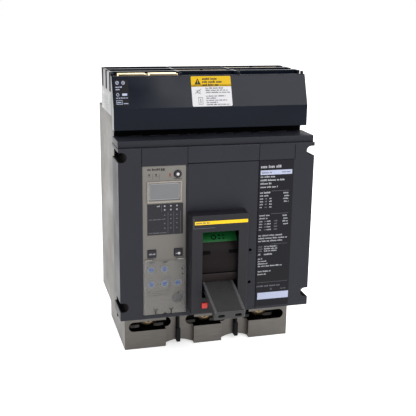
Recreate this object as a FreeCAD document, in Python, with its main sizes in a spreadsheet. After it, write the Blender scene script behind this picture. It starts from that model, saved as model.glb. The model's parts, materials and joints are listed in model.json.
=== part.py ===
"""Three-pole plug-on molded case circuit breaker, shown OFF.

Frame: millimetres, origin at the centre of the four mounting holes on the back plane, +X to the
right, +Z towards the line end, +Y into the panel. Sub-parts are drawn with x from the centre,
depth back from the front cover's face and height up from its foot, then seated in the frame.
"""
import FreeCAD, Part
import os
import re

import Sketcher

Vector = FreeCAD.Vector

DIMENSIONS = {
    # the frame: where the cover's face and foot lie
    "face": -147,
    "foot": -95,
    # front cover and base
    "cover_half": 105,
    "cover_depth": 38,
    "cover_top": 184,
    "skin": 3,
    "base_half": 103,
    "base_bottom": -10,
    "base_top": 211,
    "base_back": 147,
    "base_wall": 8,
    "pole_pitch": 70,
    "chamber_half": 30,
    "chamber_back": 135,
    "chamber_top": 186,
    "attic_front": 41,
    # mounting screws: notches of the cover open to the sides, tunnels of the base
    "bolt_x": 99,
    "bolt_low": 15,
    "bolt_high": 175,
    "bolt_radius": 2.6,
    "channel_radius": 5,
    "channel_centre": 101.2,
    "channel_wall": 2.5,
    "tunnel_radius": 2.9,
    "tunnel_wall": 1.7,
    # case screws from the back
    "screw_outer_x": 35,
    "screw_top": 172,
    "screw_middle": 140,
    "screw_foot": 30,
    "screw_shank": 2.5,
    "screw_head": 4.3,
    "screw_sunk": 5,
    "screw_tip": 18,
    "boss_half": 4.5,
    "strap_gauge": 3,
    "strap_reach": 12,
    # windows and seams of the front cover
    "trip_left": -80.8,
    "trip_right": -34.6,
    "trip_low": 4,
    "trip_high": 165.5,
    "access_left": -33.2,
    "access_right": 43,
    "access_low": 3,
    "access_high": 166.3,
    "access_floor": 12,
    "mouth_left": -29,
    "mouth_right": 24,
    "mouth_low": 11,
    "mouth_high": 111,
    "plunger_x": 36,
    "plunger_high": 69.1,
    "plunger_low": 32.5,
    "plunger_radius": 1.7,
    "seam": 0.7,
    "seam_depth": 0.9,
    "right_seam": 82.5,
    "play": 0.2,
    # bar with the arc vents, above the cover
    "vent_half": 104.5,
    "vent_front": 4,
    "vent_top": 190.8,
    "vent_slot": 12,
    "vent_pitch": 20,
    # hood and housing of the line end
    "line_half": 104.7,
    "hood_front": 24.7,
    "hood_low": 197.8,
    "hood_knee": 220.2,
    "hood_back": 36.5,
    "hood_top": 251.8,
    "housing_front": 40,
    "housing_back": 112,
    "housing_top": 254.6,
    "housing_floor": 4,
    "row_first": 47.5,
    "row_pitch": 26.5,
    "row_half": 12,
    "row_front_wall": 1.6,
    "post_x": 31.5,
    "post_half": 1.5,
    "slot_half": 4.25,
    "slot_floor": 235.5,
    # handle block on the accessory cover
    "block_left": -33.2,
    "block_right": 29,
    "block_low": 7,
    "block_high": 115.8,
    "block_rise": 16,
    "block_draft": 0.8,
    "block_wall": 2.6,
    "block_round": 0.8,
    "recess_left": -21.1,
    "recess_right": 17.9,
    "recess_low": 25.2,
    "recess_high": 97,
    "band_low": 105.4,
    "band_high": 109,
    "band_left": -29.6,
    "label_gauge": 0.25,
    # labels
    "rating_left": 43.6,
    "rating_right": 82,
    "caution_left": -22.5,
    "caution_right": 20.5,
    "caution_low": 220.9,
    "caution_high": 250.8,
    "approval_left": -102.5,
    "approval_right": -88.2,
    "approval_low": 222.7,
    "approval_high": 248.3,
    # handle: pivot, rest angle below the horizontal and paddle
    "pivot_depth": 30,
    "pivot_height": 59,
    "handle_rest": 18.5,
    "handle_centre": -0.8,
    "root_reach": 34,
    "tip_reach": 90,
    "paddle_high": -8.1,
    "root_low": -15,
    "tip_low": -18.2,
    "root_half_wide": 17.6,
    "tip_half_wide": 16.4,
    "paddle_round": 1.4,
    "grip_hole_x": 9.1,
    "grip_hole_straight": 1.7,
    "grip_hole_radius": 2.1,
    "grip_hole_deep": 6,
    "pivot_radius": 3,
    "running": 0.05,
    # indicator shutter behind the handle
    "drum_outer": 40,
    "drum_inner": 38,
    "drum_left": -22.2,
    "drum_right": 20.6,
    "drum_sweep": 181,
    # mechanism
    "plate_inner": 24,
    "plate_gauge": 2,
    "plate_front": 20,
    "plate_back": 107,
    "plate_low": 24,
    "plate_high": 108,
    "low_bridge_depth": 84,
    "low_bridge_high": 52,
    "top_bridge_front": 56,
    "top_bridge_back": 80,
    "yoke_outer": 19.5,
    "yoke_gauge": 2,
    "yoke_half": 6,
    "anchor_reach": 22,
    "spring_radius": 3.2,
    "spring_x": 9,
    "spring_back": 36,
    "spring_rise": 4,
    "spring_inset": 6,
    "hook_half": 0.8,
    "anchor_radius": 1.8,
    "cradle_depth": 74,
    "cradle_height": 100,
    "cradle_knee": 40,
    "cradle_foot": 14,
    "cradle_foot_front": 49,
    "cradle_foot_back": 54,
    "trip_bar_depth": 43,
    "trip_bar_height": 7,
    "trip_bar_radius": 3,
    "lever_top": 17.5,
    "lever_front": 40,
    "lever_gap": 0.4,
    "lever_gauge": 3,
    "lever_half": 2.5,
    "trip_bar_left": -66,
    "trip_bar_right": 20,
    "button_x": -18.4,
    "button_height": 16.8,
    "button_half": 3,
    "button_proud": 1.4,
    "button_back": 5,
    "stem_height": 15,
    # crossbar and contact arms
    "bar_depth": 96,
    "bar_height": 95,
    "bar_radius": 9,
    "bar_half": 97,
    "hub_radius": 14,
    "collar": 4,
    "arm_half": 6,
    "arm_thick": 10,
    "arm_length": 57,
    "arm_rest": 10,
    "pad_gauge": 3,
    # arc chutes
    "chute_half": 22,
    "chute_front": 72,
    "chute_back": 118,
    "chute_low": 158,
    "chute_pitch": 4.6,
    "chute_plate": 1.6,
    "chute_board_x": 23,
    "chute_board_half": 1,
    "chute_board_low": 156,
    "chute_board_high": 190,
    # copper
    "copper": 6,
    "riser_half": 20,
    "terminal_front": 124,
    "terminal_low": 134,
    "run_low": 193,
    "contact_front": 121.8,
    "strap_depth": 102,
    "strap_half": 17,
    "strap_low": -38,
    "strap_top": 62,
    "braid_half": 8,
    "braid_gauge": 8,
    "ring_half": 23,
    "ring_front": 88,
    "ring_back": 124,
    "ring_low": 12,
    "ring_high": 42,
    # jaws
    "jaw_gap": 5.4,
    "leaf": 1.6,
    "flare": 1.2,
    "jaw_foot": 9,
    "jaw_throat": 247,
    "jaw_top": 253.5,
    "jaw_outer": 96.6,
    "jaw_split_out": 67.5,
    "jaw_split_in": 64.4,
    "jaw_inner": 34.4,
    "jaw_middle_gap": 1.4,
    "jaw_post_gap": 1.2,
    # lugs
    "lug_front": 35,
    "wing_front": 42,
    "lug_back": 138,
    "lug_low": -50,
    "lug_top": -11,
    "lug_outer": 95.2,
    "lug_step": 48.6,
    "lug_inner": 35.6,
    "mid_step": 16.2,
    "mid_half": 32.4,
    "slot_reach": 24.5,
    "slot_height": -23.5,
    "slot_radius": 5.5,
    "slot_x": 66,
    "cavity_front": 45,
    "cavity_back": 60,
    "cavity_low": -35,
    "wire_radius": 11.5,
    "wire_x": 14,
    "wire_depth": 70,
    "wire_top": -16,
    "binding_radius": 9.5,
    "binding_front": 49,
    "binding_gauge": 6,
    "binding_height": -21.5,
    "binding_socket": 4,
    "binding_socket_deep": 3.5,
    "pressure_half": 22,
    "pressure_gauge": 3,
    "pressure_low": -30,
    "pressure_high": -14,
    "separator_x": 34,
    "separator_half": 1.1,
    "separator_foot_half": 2.2,
    "separator_step": -30,
    "separator_low": -46.5,
    "arch_x": 33.6,
    "arch_rise": 4,
    "arch_radius": 34.8,
    # trip unit
    "tray_back": 36,
    "tray_wall": 2,
    "film_front": 1.4,
    "graph_front": 0.7,
    "film_back": 2.8,
    "face_front": 1,
    "face_back": 4,
    "display_left": -73.6,
    "display_right": -41.4,
    "display_low": 128.8,
    "display_high": 147,
    "bezel": 2.2,
    "graph_left": -75.6,
    "graph_right": -38,
    "graph_low": 92.4,
    "graph_high": 125.4,
    "board_front": 12,
    "board_gauge": 1.6,
    "magnet_x": -52,
    "magnet_half": 8,
    "magnet_front": 16,
    "magnet_top": 24,
    "magnet_pin": 1.5,
    "key_half_wide": 4.4,
    "key_half_high": 4.2,
    "key_height": 72.2,
    "menu_x": -71,
    "arrow_x": -42.9,
    "key_front": -0.6,
    "key_gap": 0.25,
    "key_back": 3,
    "key_round": 0.6,
    "key_travel": 1.2,
    "stem_radius": 2,
    "reset_x": -43.8,
    "reset_height": 156.2,
    "reset_radius": 3.8,
    "reset_front": -0.8,
    "reset_back": 2.4,
    "reset_travel": 1.5,
    "plug_x": -43.2,
    "plug_height": 21.1,
    "plug_radius": 6,
    "plug_front": 0.2,
    "plug_socket": 3.6,
    "plug_socket_deep": 2,
    "dial_radius": 4.4,
    "dial_front": 0.4,
    "dial_back": 3.6,
    "dial_slot_half": 3.2,
    "dial_slot_half_wide": 0.5,
    "dial_slot_deep": 0.8,
    "dial_left": -71.8,
    "dial_middle": -57.7,
    "dial_right": -43.3,
    "dial_upper": 54.6,
    "dial_lower": 38.6,
    "flap_left": -79.6,
    "flap_right": -34.9,
    "flap_low": 4.8,
    "flap_high": 64,
    "flap_front": -1.5,
    "flap_back": -0.2,
    "hinge_depth": -0.55,
    "hinge_height": 65.4,
    "hinge_radius": 0.45,
    "knuckle_reach": 0.75,
    "knuckle_rise": 0.8,
    "knuckle_left": -75,
    "knuckle_right": -40,
    "knuckle_half": 3,
}

doc = FreeCAD.newDocument("plug_on_breaker")
PARTS = {}


def write_sheet():
    """Put every driving dimension in the spreadsheet under its alias."""
    sheet = doc.addObject("Spreadsheet::Sheet", "dims")
    for row, (alias, number) in enumerate(DIMENSIONS.items(), start=1):
        sheet.set(f"A{row}", alias)
        sheet.set(f"B{row}", str(number))
        sheet.setAlias(f"B{row}", alias)
    doc.recompute()


def bound(formula):
    """Turn a formula of aliases into an expression on the sheet."""
    return re.sub(r"[a-z]\w*", lambda word: "dims." + word.group() if word.group() in DIMENSIONS
                  else word.group(), formula)


def value(formula):
    """Work a formula of aliases out with the sheet's numbers."""
    numbers = re.sub(r"[a-z]\w*", lambda word: str(DIMENSIONS[word.group()]), formula)
    return FreeCAD.Units.Quantity(f"({numbers})").Value


def bind(thing, **formulas):
    """Bind properties of an object to formulas; a double underscore stands for a dot."""
    for name, formula in formulas.items():
        thing.setExpression(name.replace("__", "."), bound(formula))


def finish(name, thing):
    """Name a sub-part and seat it in the frame."""
    thing.Label = name
    bind(thing, Placement__Base__y="face", Placement__Base__z="foot")
    PARTS[name] = thing
    return thing


# ---- solids by primitives --------------------------------------------------------------------

def block(x, depth, height):
    """A box between two formulas along each direction."""
    box = doc.addObject("Part::Box", "block")
    for size, axis, (low, high) in (("Length", "x", x), ("Width", "y", depth), ("Height", "z", height)):
        box.setExpression(size, bound(f"({high}) - ({low})"))
        box.setExpression(f"Placement.Base.{axis}", bound(low))
    return box


TURNS = {
    "x": FreeCAD.Rotation(Vector(0, 1, 0), 90),
    "y": FreeCAD.Rotation(Vector(1, 0, 0), -90),
    "z": FreeCAD.Rotation(),
}


def rod(along, centre, span, radius):
    """A cylinder along one axis; centre holds its places on the other two, in x, y, z order."""
    cylinder = doc.addObject("Part::Cylinder", "rod")
    cylinder.Placement = FreeCAD.Placement(Vector(), TURNS[along])
    bind(cylinder, Radius=radius, Height=f"({span[1]}) - ({span[0]})")
    places = list(centre)
    places.insert("xyz".index(along), span[0])
    for axis, place in zip("xyz", places):
        cylinder.setExpression(f"Placement.Base.{axis}", bound(place))
    return cylinder


def fuse(*pieces):
    """Several solids as one."""
    union = doc.addObject("Part::MultiFuse", "fuse")
    union.Shapes = list(pieces)
    union.Refine = True
    return union


def group(*pieces):
    """Several solids that stay separate."""
    compound = doc.addObject("Part::Compound", "group")
    compound.Links = list(pieces)
    return compound


def cut(base, *tools):
    """A solid with others taken away."""
    difference = doc.addObject("Part::Cut", "cut")
    difference.Base = base
    difference.Tool = tools[0] if len(tools) == 1 else fuse(*tools)
    difference.Refine = True
    return difference


# ---- solids by sketches and features ---------------------------------------------------------

def new_body(name):
    """An empty body for one sub-part."""
    return doc.addObject("PartDesign::Body", name)


def sketch_on(body, plane, at="0"):
    """A sketch parallel to an origin plane: XY (x, depth), XZ (x, height) or YZ (depth, height).

    XY looks up and YZ looks right. XZ looks forward, so at is taken as a depth there.
    """
    sketch = body.newObject("Sketcher::SketchObject", "sketch")
    role = plane + "_Plane"
    sketch.AttachmentSupport = [(next(p for p in body.Origin.OriginFeatures if p.Role == role), "")]
    sketch.MapMode = "FlatFace"
    bind(sketch, AttachmentOffset__Base__z=f"-({at})" if plane == "XZ" else at)
    return sketch


def outline(sketch, points):
    """A closed run of straight lines whose corners are bound to formulas."""
    first = sketch.GeometryCount
    places = [Vector(value(across), value(up), 0) for across, up in points]
    for start, end in zip(places, places[1:] + places[:1]):
        sketch.addGeometry(Part.LineSegment(start, end))
    for corner, (across, up) in enumerate(points):
        line = first + corner
        following = first + (corner + 1) % len(points)
        sketch.addConstraint(Sketcher.Constraint("Coincident", line, 2, following, 1))
        for kind, formula in (("DistanceX", across), ("DistanceY", up)):
            index = sketch.addConstraint(Sketcher.Constraint(kind, -1, 1, line, 1, value(formula)))
            sketch.setExpression(f"Constraints[{index}]", bound(formula))


def rectangle(sketch, x, y):
    """A rectangle between two formulas each way."""
    outline(sketch, [(x[0], y[0]), (x[1], y[0]), (x[1], y[1]), (x[0], y[1])])


def circle(sketch, x, y, radius):
    """A circle bound to formulas."""
    shape = Part.Circle(Vector(value(x), value(y), 0), Vector(0, 0, 1), value(radius))
    index = sketch.addGeometry(shape)
    for constraint, formula in ((("DistanceX", -1, 1, index, 3), x), (("DistanceY", -1, 1, index, 3), y),
                                (("Radius", index), radius)):
        number = sketch.addConstraint(Sketcher.Constraint(*constraint, value(formula)))
        sketch.setExpression(f"Constraints[{number}]", bound(formula))


def pad(body, sketch, length, backwards=False):
    """Material grown from a sketch, along the way its plane looks unless backwards."""
    feature = body.newObject("PartDesign::Pad", "pad")
    feature.Profile = sketch
    feature.Reversed = backwards
    bind(feature, Length=length)
    doc.recompute()
    return feature


def pocket(body, sketch, length, forwards=False):
    """Material cut from a sketch, against the way its plane looks unless forwards."""
    before = body.Shape.Volume
    feature = body.newObject("PartDesign::Pocket", "pocket")
    feature.Profile = sketch
    feature.Reversed = forwards
    bind(feature, Length=length)
    doc.recompute()
    if not body.Shape.Volume < before - 1e-3:
        raise ValueError(f"a pocket of {body.Label} cuts nothing")
    return feature


def round_edges(body, radius, chosen):
    """A fillet on the edges that a test picks, by a point half-way along and a direction."""
    feature = body.Tip
    names = []
    for number, edge in enumerate(feature.Shape.Edges, start=1):
        middle = edge.valueAt((edge.FirstParameter + edge.LastParameter) / 2)
        way = edge.tangentAt((edge.FirstParameter + edge.LastParameter) / 2)
        if chosen(middle, way):
            names.append(f"Edge{number}")
    fillet = body.newObject("PartDesign::Fillet", "fillet")
    fillet.Base = (feature, names)
    fillet.Radius = radius
    doc.recompute()
    return fillet


def front_plate(name, x, height, depth, windows=(), holes=()):
    """A flat piece facing forward, with windows and round holes right through it."""
    body = new_body(name)
    front, back = depth
    sketch = sketch_on(body, "XZ", back)
    rectangle(sketch, x, height)
    pad(body, sketch, f"({back}) - ({front})")
    if windows or holes:
        openings = sketch_on(body, "XZ", front)
        for window in windows:
            rectangle(openings, *window)
        for hole in holes:
            circle(openings, *hole)
        pocket(body, openings, f"({back}) - ({front})")
    return body


def turned(name, x, height, steps):
    """A round piece facing forward: each step is a front, a back and a radius."""
    body = new_body(name)
    for front, back, radius in steps:
        sketch = sketch_on(body, "XZ", back)
        circle(sketch, x, height, radius)
        pad(body, sketch, f"({back}) - ({front})")
    return body


def side_profile(name, x, points):
    """A piece of one depth-and-height outline, swept between two x."""
    body = new_body(name)
    sketch = sketch_on(body, "YZ", x[0])
    outline(sketch, points)
    pad(body, sketch, f"({x[1]}) - ({x[0]})")
    return body


POLES = {1: "-pole_pitch", 2: "0", 3: "pole_pitch"}
CORNERS = [(side, height) for side in (-1, 1) for height in ("bolt_low", "bolt_high")]


def row_depth(number):
    """Depth of a bus slot's middle, counted from the front."""
    return f"row_first + {number - 1} * row_pitch"


def sided(side, low, high):
    """A span of x given on the right, mirrored when side is -1."""
    return (low, high) if side > 0 else (f"-({high})", f"-({low})")


# ---- case ------------------------------------------------------------------------------------

def channel(side, height, depth, grow="0"):
    """The space of a corner screw channel, or the walls round it when grown."""
    reach = f"channel_radius + {grow}"
    trough = block(sided(side, "channel_centre", "cover_half + 1"), depth,
                   (f"{height} - ({reach})", f"{height} + ({reach})"))
    end = rod("y", (f"{side} * channel_centre", height), depth, reach)
    return fuse(trough, end)


def base_case():
    """Rear base with a chamber per pole, an attic for the line copper and the corner channels."""
    shell = block(("-base_half", "base_half"), ("cover_depth", "base_back"), ("base_bottom", "base_top"))
    hollows = []
    for pole, x in POLES.items():
        wide = (f"{x} - chamber_half", f"{x} + chamber_half")
        hollows.append(block(wide, ("cover_depth - 1", "chamber_back"),
                             ("base_bottom + base_wall", "chamber_top")))
        hollows.append(block(wide, ("attic_front", "chamber_back"),
                             ("chamber_top - 1", "base_top - base_wall")))
    reach = "tunnel_radius + tunnel_wall"
    walls = [block(sided(side, f"bolt_x - {reach}", "base_half"), ("cover_depth", "base_back"),
                   (f"{height} - {reach}", f"{height} + {reach}")) for side, height in CORNERS]
    body = fuse(cut(shell, *hollows), *walls)
    gaps = [rod("y", (f"{side} * bolt_x", height), ("cover_depth - 1", "base_back + 1"), "tunnel_radius")
            for side, height in CORNERS]
    for height in ("bolt_low", "bolt_high"):
        gaps.append(block(("-base_half - 1", "base_half + 1"), ("base_back - strap_gauge", "base_back + 1"),
                          (f"{height} - strap_reach", f"{height} + strap_reach")))
    for pole, x in POLES.items():
        gaps.append(block((f"{x} - strap_half - play", f"{x} + strap_half + play"),
                          ("strap_depth - play", "strap_depth + copper + play"),
                          ("base_bottom - 1", "base_bottom + base_wall + 1")))
        gaps.append(block((f"{x} - riser_half - play", f"{x} + riser_half + play"),
                          (f"{row_depth(pole)} - copper / 2 - play",
                           f"{row_depth(pole)} + copper / 2 + play"),
                          ("base_top - base_wall - 1", "base_top + 1")))
    for side in (-1, 1):
        wall = sided(side, "chamber_half - 1", "pole_pitch - chamber_half + 1")
        gaps.append(block(wall, ("cover_depth - 1", "bar_depth"),
                          ("bar_height - bar_radius - running", "bar_height + bar_radius + running")))
        gaps.append(rod("x", ("bar_depth", "bar_height"), wall, "bar_radius + running"))
    gaps.append(block(("-pole_pitch + chamber_half - 1", "-chamber_half + 1"),
                      ("cover_depth - 1", "trip_bar_depth + 5"),
                      ("trip_bar_height - 5", "trip_bar_height + 5")))
    for x, height in CASE_SCREWS:
        gaps.append(rod("y", (x, height), ("cover_depth - 1", "base_back + 1"), "screw_shank + play"))
        gaps.append(rod("y", (x, height), ("base_back - screw_sunk - 1", "base_back + 1"),
                        "screw_head + 0.3"))
    finish("base_case", cut(body, *gaps))


CASE_SCREWS = [("-screw_outer_x", "screw_top"), ("screw_outer_x", "screw_top"),
               ("screw_outer_x", "screw_foot"), ("screw_outer_x", "screw_middle")]


def case_screws():
    """Long screws from the back of the base into the bosses of the cover."""
    screws = [fuse(rod("y", (x, height), ("base_back - screw_sunk", "base_back - 1"), "screw_head"),
                   rod("y", (x, height), ("screw_tip", "base_back - screw_sunk"), "screw_shank"))
              for x, height in CASE_SCREWS]
    finish("case_screws", group(*screws))


def front_cover():
    """Front cover: a shell with the windows of the trip unit and the accessory cover."""
    shell = block(("-cover_half", "cover_half"), ("0", "cover_depth"), ("0", "cover_top"))
    hollow = block(("-cover_half + skin", "cover_half - skin"), ("skin", "cover_depth + 1"),
                   ("skin", "cover_top - skin"))
    walls = [cut(channel(side, height, ("1", "cover_depth"), "channel_wall"),
                 block(sided(side, "cover_half", "cover_half + 9"), ("0", "cover_depth + 1"),
                       (f"{height} - 20", f"{height} + 20"))) for side, height in CORNERS]
    floor = block(("access_left - 1.2", "access_right + skin"), ("1", "access_floor + skin"),
                  ("1", "access_high + skin"))
    bosses = [block((f"{x} - boss_half", f"{x} + boss_half"), ("skin - 1", "cover_depth"),
                    (f"{height} - boss_half", f"{height} + boss_half")) for x, height in CASE_SCREWS]
    body = fuse(cut(shell, hollow), floor, *walls, *bosses)
    gaps = [channel(side, height, ("-1", "cover_depth + 1")) for side, height in CORNERS]
    gaps.append(block(("trip_left", "trip_right"), ("-1", "cover_depth + 1"), ("trip_low", "trip_high")))
    gaps.append(block(("access_left", "access_right"), ("-1", "access_floor"),
                      ("access_low", "access_high")))
    gaps.append(block(("mouth_left", "mouth_right"), ("0", "cover_depth + 1"), ("mouth_low", "mouth_high")))
    seams = [
        (("trip_left - seam", "trip_left"), ("trip_high - 1", "cover_top + 1")),
        (("access_left - seam", "access_left"), ("trip_high - 1", "cover_top + 1")),
        (("access_right", "access_right + seam"), ("0 - 1", "cover_top + 1")),
        (("access_left", "right_seam"), ("access_high", "access_high + seam")),
        (("right_seam", "right_seam + seam"), ("access_high", "cover_top - 1.8")),
    ]
    for x, height in seams:
        gaps.append(block(x, ("-1", "seam_depth"), height))
    for x, height in CASE_SCREWS:
        gaps.append(rod("y", (x, height), ("screw_tip - 1", "cover_depth + 1"), "screw_shank"))
    finish("front_cover", cut(body, *gaps))


def arc_vent_bar():
    """Bar above the cover, with the arc vents behind its front edge."""
    bar = block(("-vent_half", "vent_half"), ("vent_front", "cover_depth"), ("cover_top", "vent_top"))
    vents = [block((f"{step} * vent_pitch - vent_slot / 2", f"{step} * vent_pitch + vent_slot / 2"),
                   ("cover_depth - 8", "cover_depth - 3"), ("cover_top - 1", "vent_top + 1"))
             for step in range(-4, 5)]
    finish("arc_vent_bar", cut(bar, *vents))


def accessory_cover():
    """Flat cover of the accessory space, open in front of the mechanism."""
    small = [("plunger_x", height, "plunger_radius") for height in ("plunger_high", "plunger_low")]
    plate = front_plate("accessory_cover", ("access_left + play", "access_right - play"),
                        ("access_low + play", "access_high - play"), ("0", "skin"),
                        windows=[(("mouth_left", "mouth_right"), ("mouth_low", "mouth_high"))], holes=small)
    finish("accessory_cover", plate)


def handle_escutcheon():
    """Raised handle block with a slight draft, hollow behind and open in front of the shutter."""
    body = new_body("handle_escutcheon")
    foot = sketch_on(body, "XZ", "0")
    rectangle(foot, ("block_left", "block_right"), ("block_low", "block_high"))
    crown = sketch_on(body, "XZ", "-block_rise")
    rectangle(crown, ("block_left + block_draft", "block_right - block_draft"),
              ("block_low + block_draft", "block_high - block_draft"))
    loft = body.newObject("PartDesign::AdditiveLoft", "loft")
    loft.Profile = foot
    loft.Sections = [crown]
    loft.Ruled = True
    doc.recompute()
    round_edges(body, value("block_round"), lambda middle, way: middle.y < -1)
    hollow = sketch_on(body, "XZ", "0")
    rectangle(hollow, ("block_left + block_wall + block_draft", "block_right - block_wall - block_draft"),
              ("block_low + block_wall + block_draft", "block_high - block_wall - block_draft"))
    pocket(body, hollow, "block_rise - block_wall", forwards=True)
    opening = sketch_on(body, "XZ", "-block_rise - 1")
    rectangle(opening, ("recess_left", "recess_right"), ("recess_low", "recess_high"))
    rectangle(opening, ("button_x - button_half - key_gap", "button_x + button_half + key_gap"),
              ("button_height - button_half - key_gap", "button_height + button_half + key_gap"))
    pocket(body, opening, "block_wall + 2")
    finish("handle_escutcheon", body)


def labels():
    """Flat labels on the handle block and the cover, and those on the slanted hood."""
    finish("yellow_band", front_plate("yellow_band", ("band_left", "block_right - block_draft - block_round"),
                                      ("band_low", "band_high"),
                                      ("-block_rise - label_gauge", "-block_rise")))
    finish("rating_label", front_plate("rating_label", ("rating_left + play", "rating_right"),
                                       ("access_low", "access_high"), ("-label_gauge", "0")))
    for name in ("caution", "approval"):
        low = f"{name}_low"
        high = f"{name}_high"
        lean = "(hood_back - hood_front) / (hood_top - hood_knee)"
        start = f"hood_front + ({low} - hood_knee) * {lean}"
        end = f"hood_front + ({high} - hood_knee) * {lean}"
        body = side_profile(name + "_label", (f"{name}_left", f"{name}_right"),
                            [(start, low), (end, high), (f"{end} - label_gauge", high),
                             (f"{start} - label_gauge", low)])
        finish(name + "_label", body)


def line_end_hood():
    """Slanted hood in front of the line end, with a cheek at each side."""
    face = [("hood_front", "hood_low"), ("hood_front", "hood_knee"), ("hood_back", "hood_top"),
            ("housing_front", "hood_top"), ("housing_front", "hood_top - skin"),
            ("hood_back + 2", "hood_top - skin"), ("hood_front + skin", "hood_knee - 0.6"),
            ("hood_front + skin", "hood_low")]
    body = side_profile("line_end_hood", ("-line_half", "line_half"), face)
    cheek = face[:4] + [("housing_front", "base_top"), ("cover_depth", "base_top"),
                        ("cover_depth", "hood_low")]
    for x in ("-line_half", "line_half - skin"):
        sketch = sketch_on(body, "YZ", x)
        outline(sketch, cheek)
        pad(body, sketch, "skin")
    finish("line_end_hood", body)


def line_end_housing():
    """Housing of the plug-on jaws: three rows of pockets, slotted along X for the bus bars."""
    box = block(("-line_half", "line_half"), ("housing_front", "housing_back"), ("base_top", "housing_top"))
    across = ("-line_half - 1", "line_half + 1")
    gaps = [block(across, ("housing_front - 1", "housing_front + row_front_wall"),
                  ("hood_top", "housing_top + 1"))]
    for row in (1, 2, 3):
        depth = row_depth(row)
        low = "housing_front + row_front_wall" if row == 1 else f"{depth} - row_half"
        for x in (("-line_half + skin", "-post_x - post_half"), ("-post_x + post_half", "post_x - post_half"),
                  ("post_x + post_half", "line_half - skin")):
            gaps.append(block(x, (low, f"{depth} + row_half - 2"),
                              ("base_top + housing_floor", "housing_top + 1")))
        gaps.append(block(across, (f"{depth} - slot_half", f"{depth} + slot_half"),
                          ("slot_floor", "housing_top + 1")))
        gaps.append(block((f"{POLES[row]} - riser_half - play", f"{POLES[row]} + riser_half + play"),
                          (f"{depth} - copper / 2 - play", f"{depth} + copper / 2 + play"),
                          ("base_top - 1", "base_top + housing_floor + 1")))
    finish("line_end_housing", cut(box, *gaps))


def mounting_straps():
    """Two steel straps let into the back, with the four mounting holes."""
    straps = []
    for height in ("bolt_low", "bolt_high"):
        strap = block(("-base_half", "base_half"), ("base_back - strap_gauge", "base_back"),
                      (f"{height} - strap_reach", f"{height} + strap_reach"))
        holes = [rod("y", (f"{side} * bolt_x", height), ("base_back - strap_gauge - 1", "base_back + 1"),
                     "bolt_radius") for side in (-1, 1)]
        clearances = [rod("y", (x, level), ("base_back - strap_gauge - 1", "base_back + 1"),
                          "screw_head + 0.6")
                      for x, level in CASE_SCREWS if (level == "screw_top") == (height == "bolt_high")]
        straps.append(cut(strap, *holes, *clearances))
    finish("mounting_straps", group(*straps))


def phase_separators():
    """Insulating plates between the lugs, each with a thicker foot in front."""
    plates = []
    for side in (-1, 1):
        stem = block(sided(side, "separator_x - separator_half", "separator_x + separator_half"),
                     ("lug_front", "lug_back + 2"), ("separator_low", "base_bottom"))
        foot = block(sided(side, "separator_x - separator_foot_half", "separator_x + separator_foot_half"),
                     ("lug_front", "wing_front - seam"), ("separator_low", "separator_step"))
        plates.append(fuse(stem, foot))
    finish("phase_separators", group(*plates))


# ---- trip unit -------------------------------------------------------------------------------

def trip_unit_case():
    """Tray that holds the trip unit's board, open at the front."""
    x = ("trip_left + 0.3", "trip_right - 0.3")
    height = ("trip_low + 0.3", "trip_high - 0.3")
    tray = block(x, ("face_back", "tray_back"), height)
    inside = block((f"{x[0]} + tray_wall", f"{x[1]} - tray_wall"), ("face_back - 1", "tray_back - tray_wall"),
                   (f"{height[0]} + tray_wall", f"{height[1]} - tray_wall"))
    plunger_hole = rod("y", ("magnet_x", "stem_height"), ("tray_back - tray_wall - 1", "tray_back + 1"),
                       "magnet_pin + 0.5")
    finish("trip_unit_case", cut(tray, inside, plunger_hole))


DIALS = [("dial_left", "dial_upper"), ("dial_middle", "dial_upper"), ("dial_left", "dial_lower"),
         ("dial_middle", "dial_lower"), ("dial_right", "dial_lower")]
KEYS = {"menu_key": "menu_x", "arrow_key": "arrow_x"}


def trip_unit_face():
    """Front plate of the trip unit with its windows, wells and the ears of the flap's hinge."""
    windows = [(("display_left", "display_right"), ("display_low", "display_high")),
               (("graph_left", "graph_right"), ("graph_low", "graph_high"))]
    for x in KEYS.values():
        windows.append(((f"{x} - key_half_wide - key_gap", f"{x} + key_half_wide + key_gap"),
                        ("key_height - key_half_high - key_gap", "key_height + key_half_high + key_gap")))
    holes = [(x, height, "dial_radius + key_gap") for x, height in DIALS]
    holes.append(("plug_x", "plug_height", "plug_radius + 0.05"))
    holes.append(("reset_x", "reset_height", "reset_radius + key_gap"))
    plate = front_plate("trip_unit_face", ("trip_left + 0.3", "trip_right - 0.3"),
                        ("trip_low + 0.3", "trip_high - 0.3"), ("face_front", "face_back"), windows, holes)
    ears = sketch_on(plate, "XZ", "face_front")
    for x in ("knuckle_left + knuckle_half + 1.4", "knuckle_right - knuckle_half - 1.4"):
        rectangle(ears, (f"{x} - 0.9", f"{x} + 0.9"), ("hinge_height - 1", "hinge_height + 1"))
    pad(plate, ears, "face_front - hinge_depth + 1")
    bore = sketch_on(plate, "YZ", "knuckle_left")
    circle(bore, "hinge_depth", "hinge_height", "hinge_radius")
    pocket(plate, bore, "knuckle_right - knuckle_left", forwards=True)
    finish("trip_unit_face", plate)


def display_parts():
    """Bezel and windows of the display and of the bar graph."""
    inner = (("display_left", "display_right"), ("display_low", "display_high"))
    outer = (("display_left - bezel", "display_right + bezel"), ("display_low - bezel", "display_high + 0.8"))
    finish("display_bezel", front_plate("display_bezel", *outer, ("0 - 0.4", "face_front"), windows=[inner]))
    finish("display_window", front_plate("display_window", *inner, ("film_front", "film_back")))
    finish("bargraph_window", front_plate("bargraph_window", ("graph_left", "graph_right"),
                                          ("graph_low", "graph_high"), ("graph_front", "film_back")))


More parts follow.
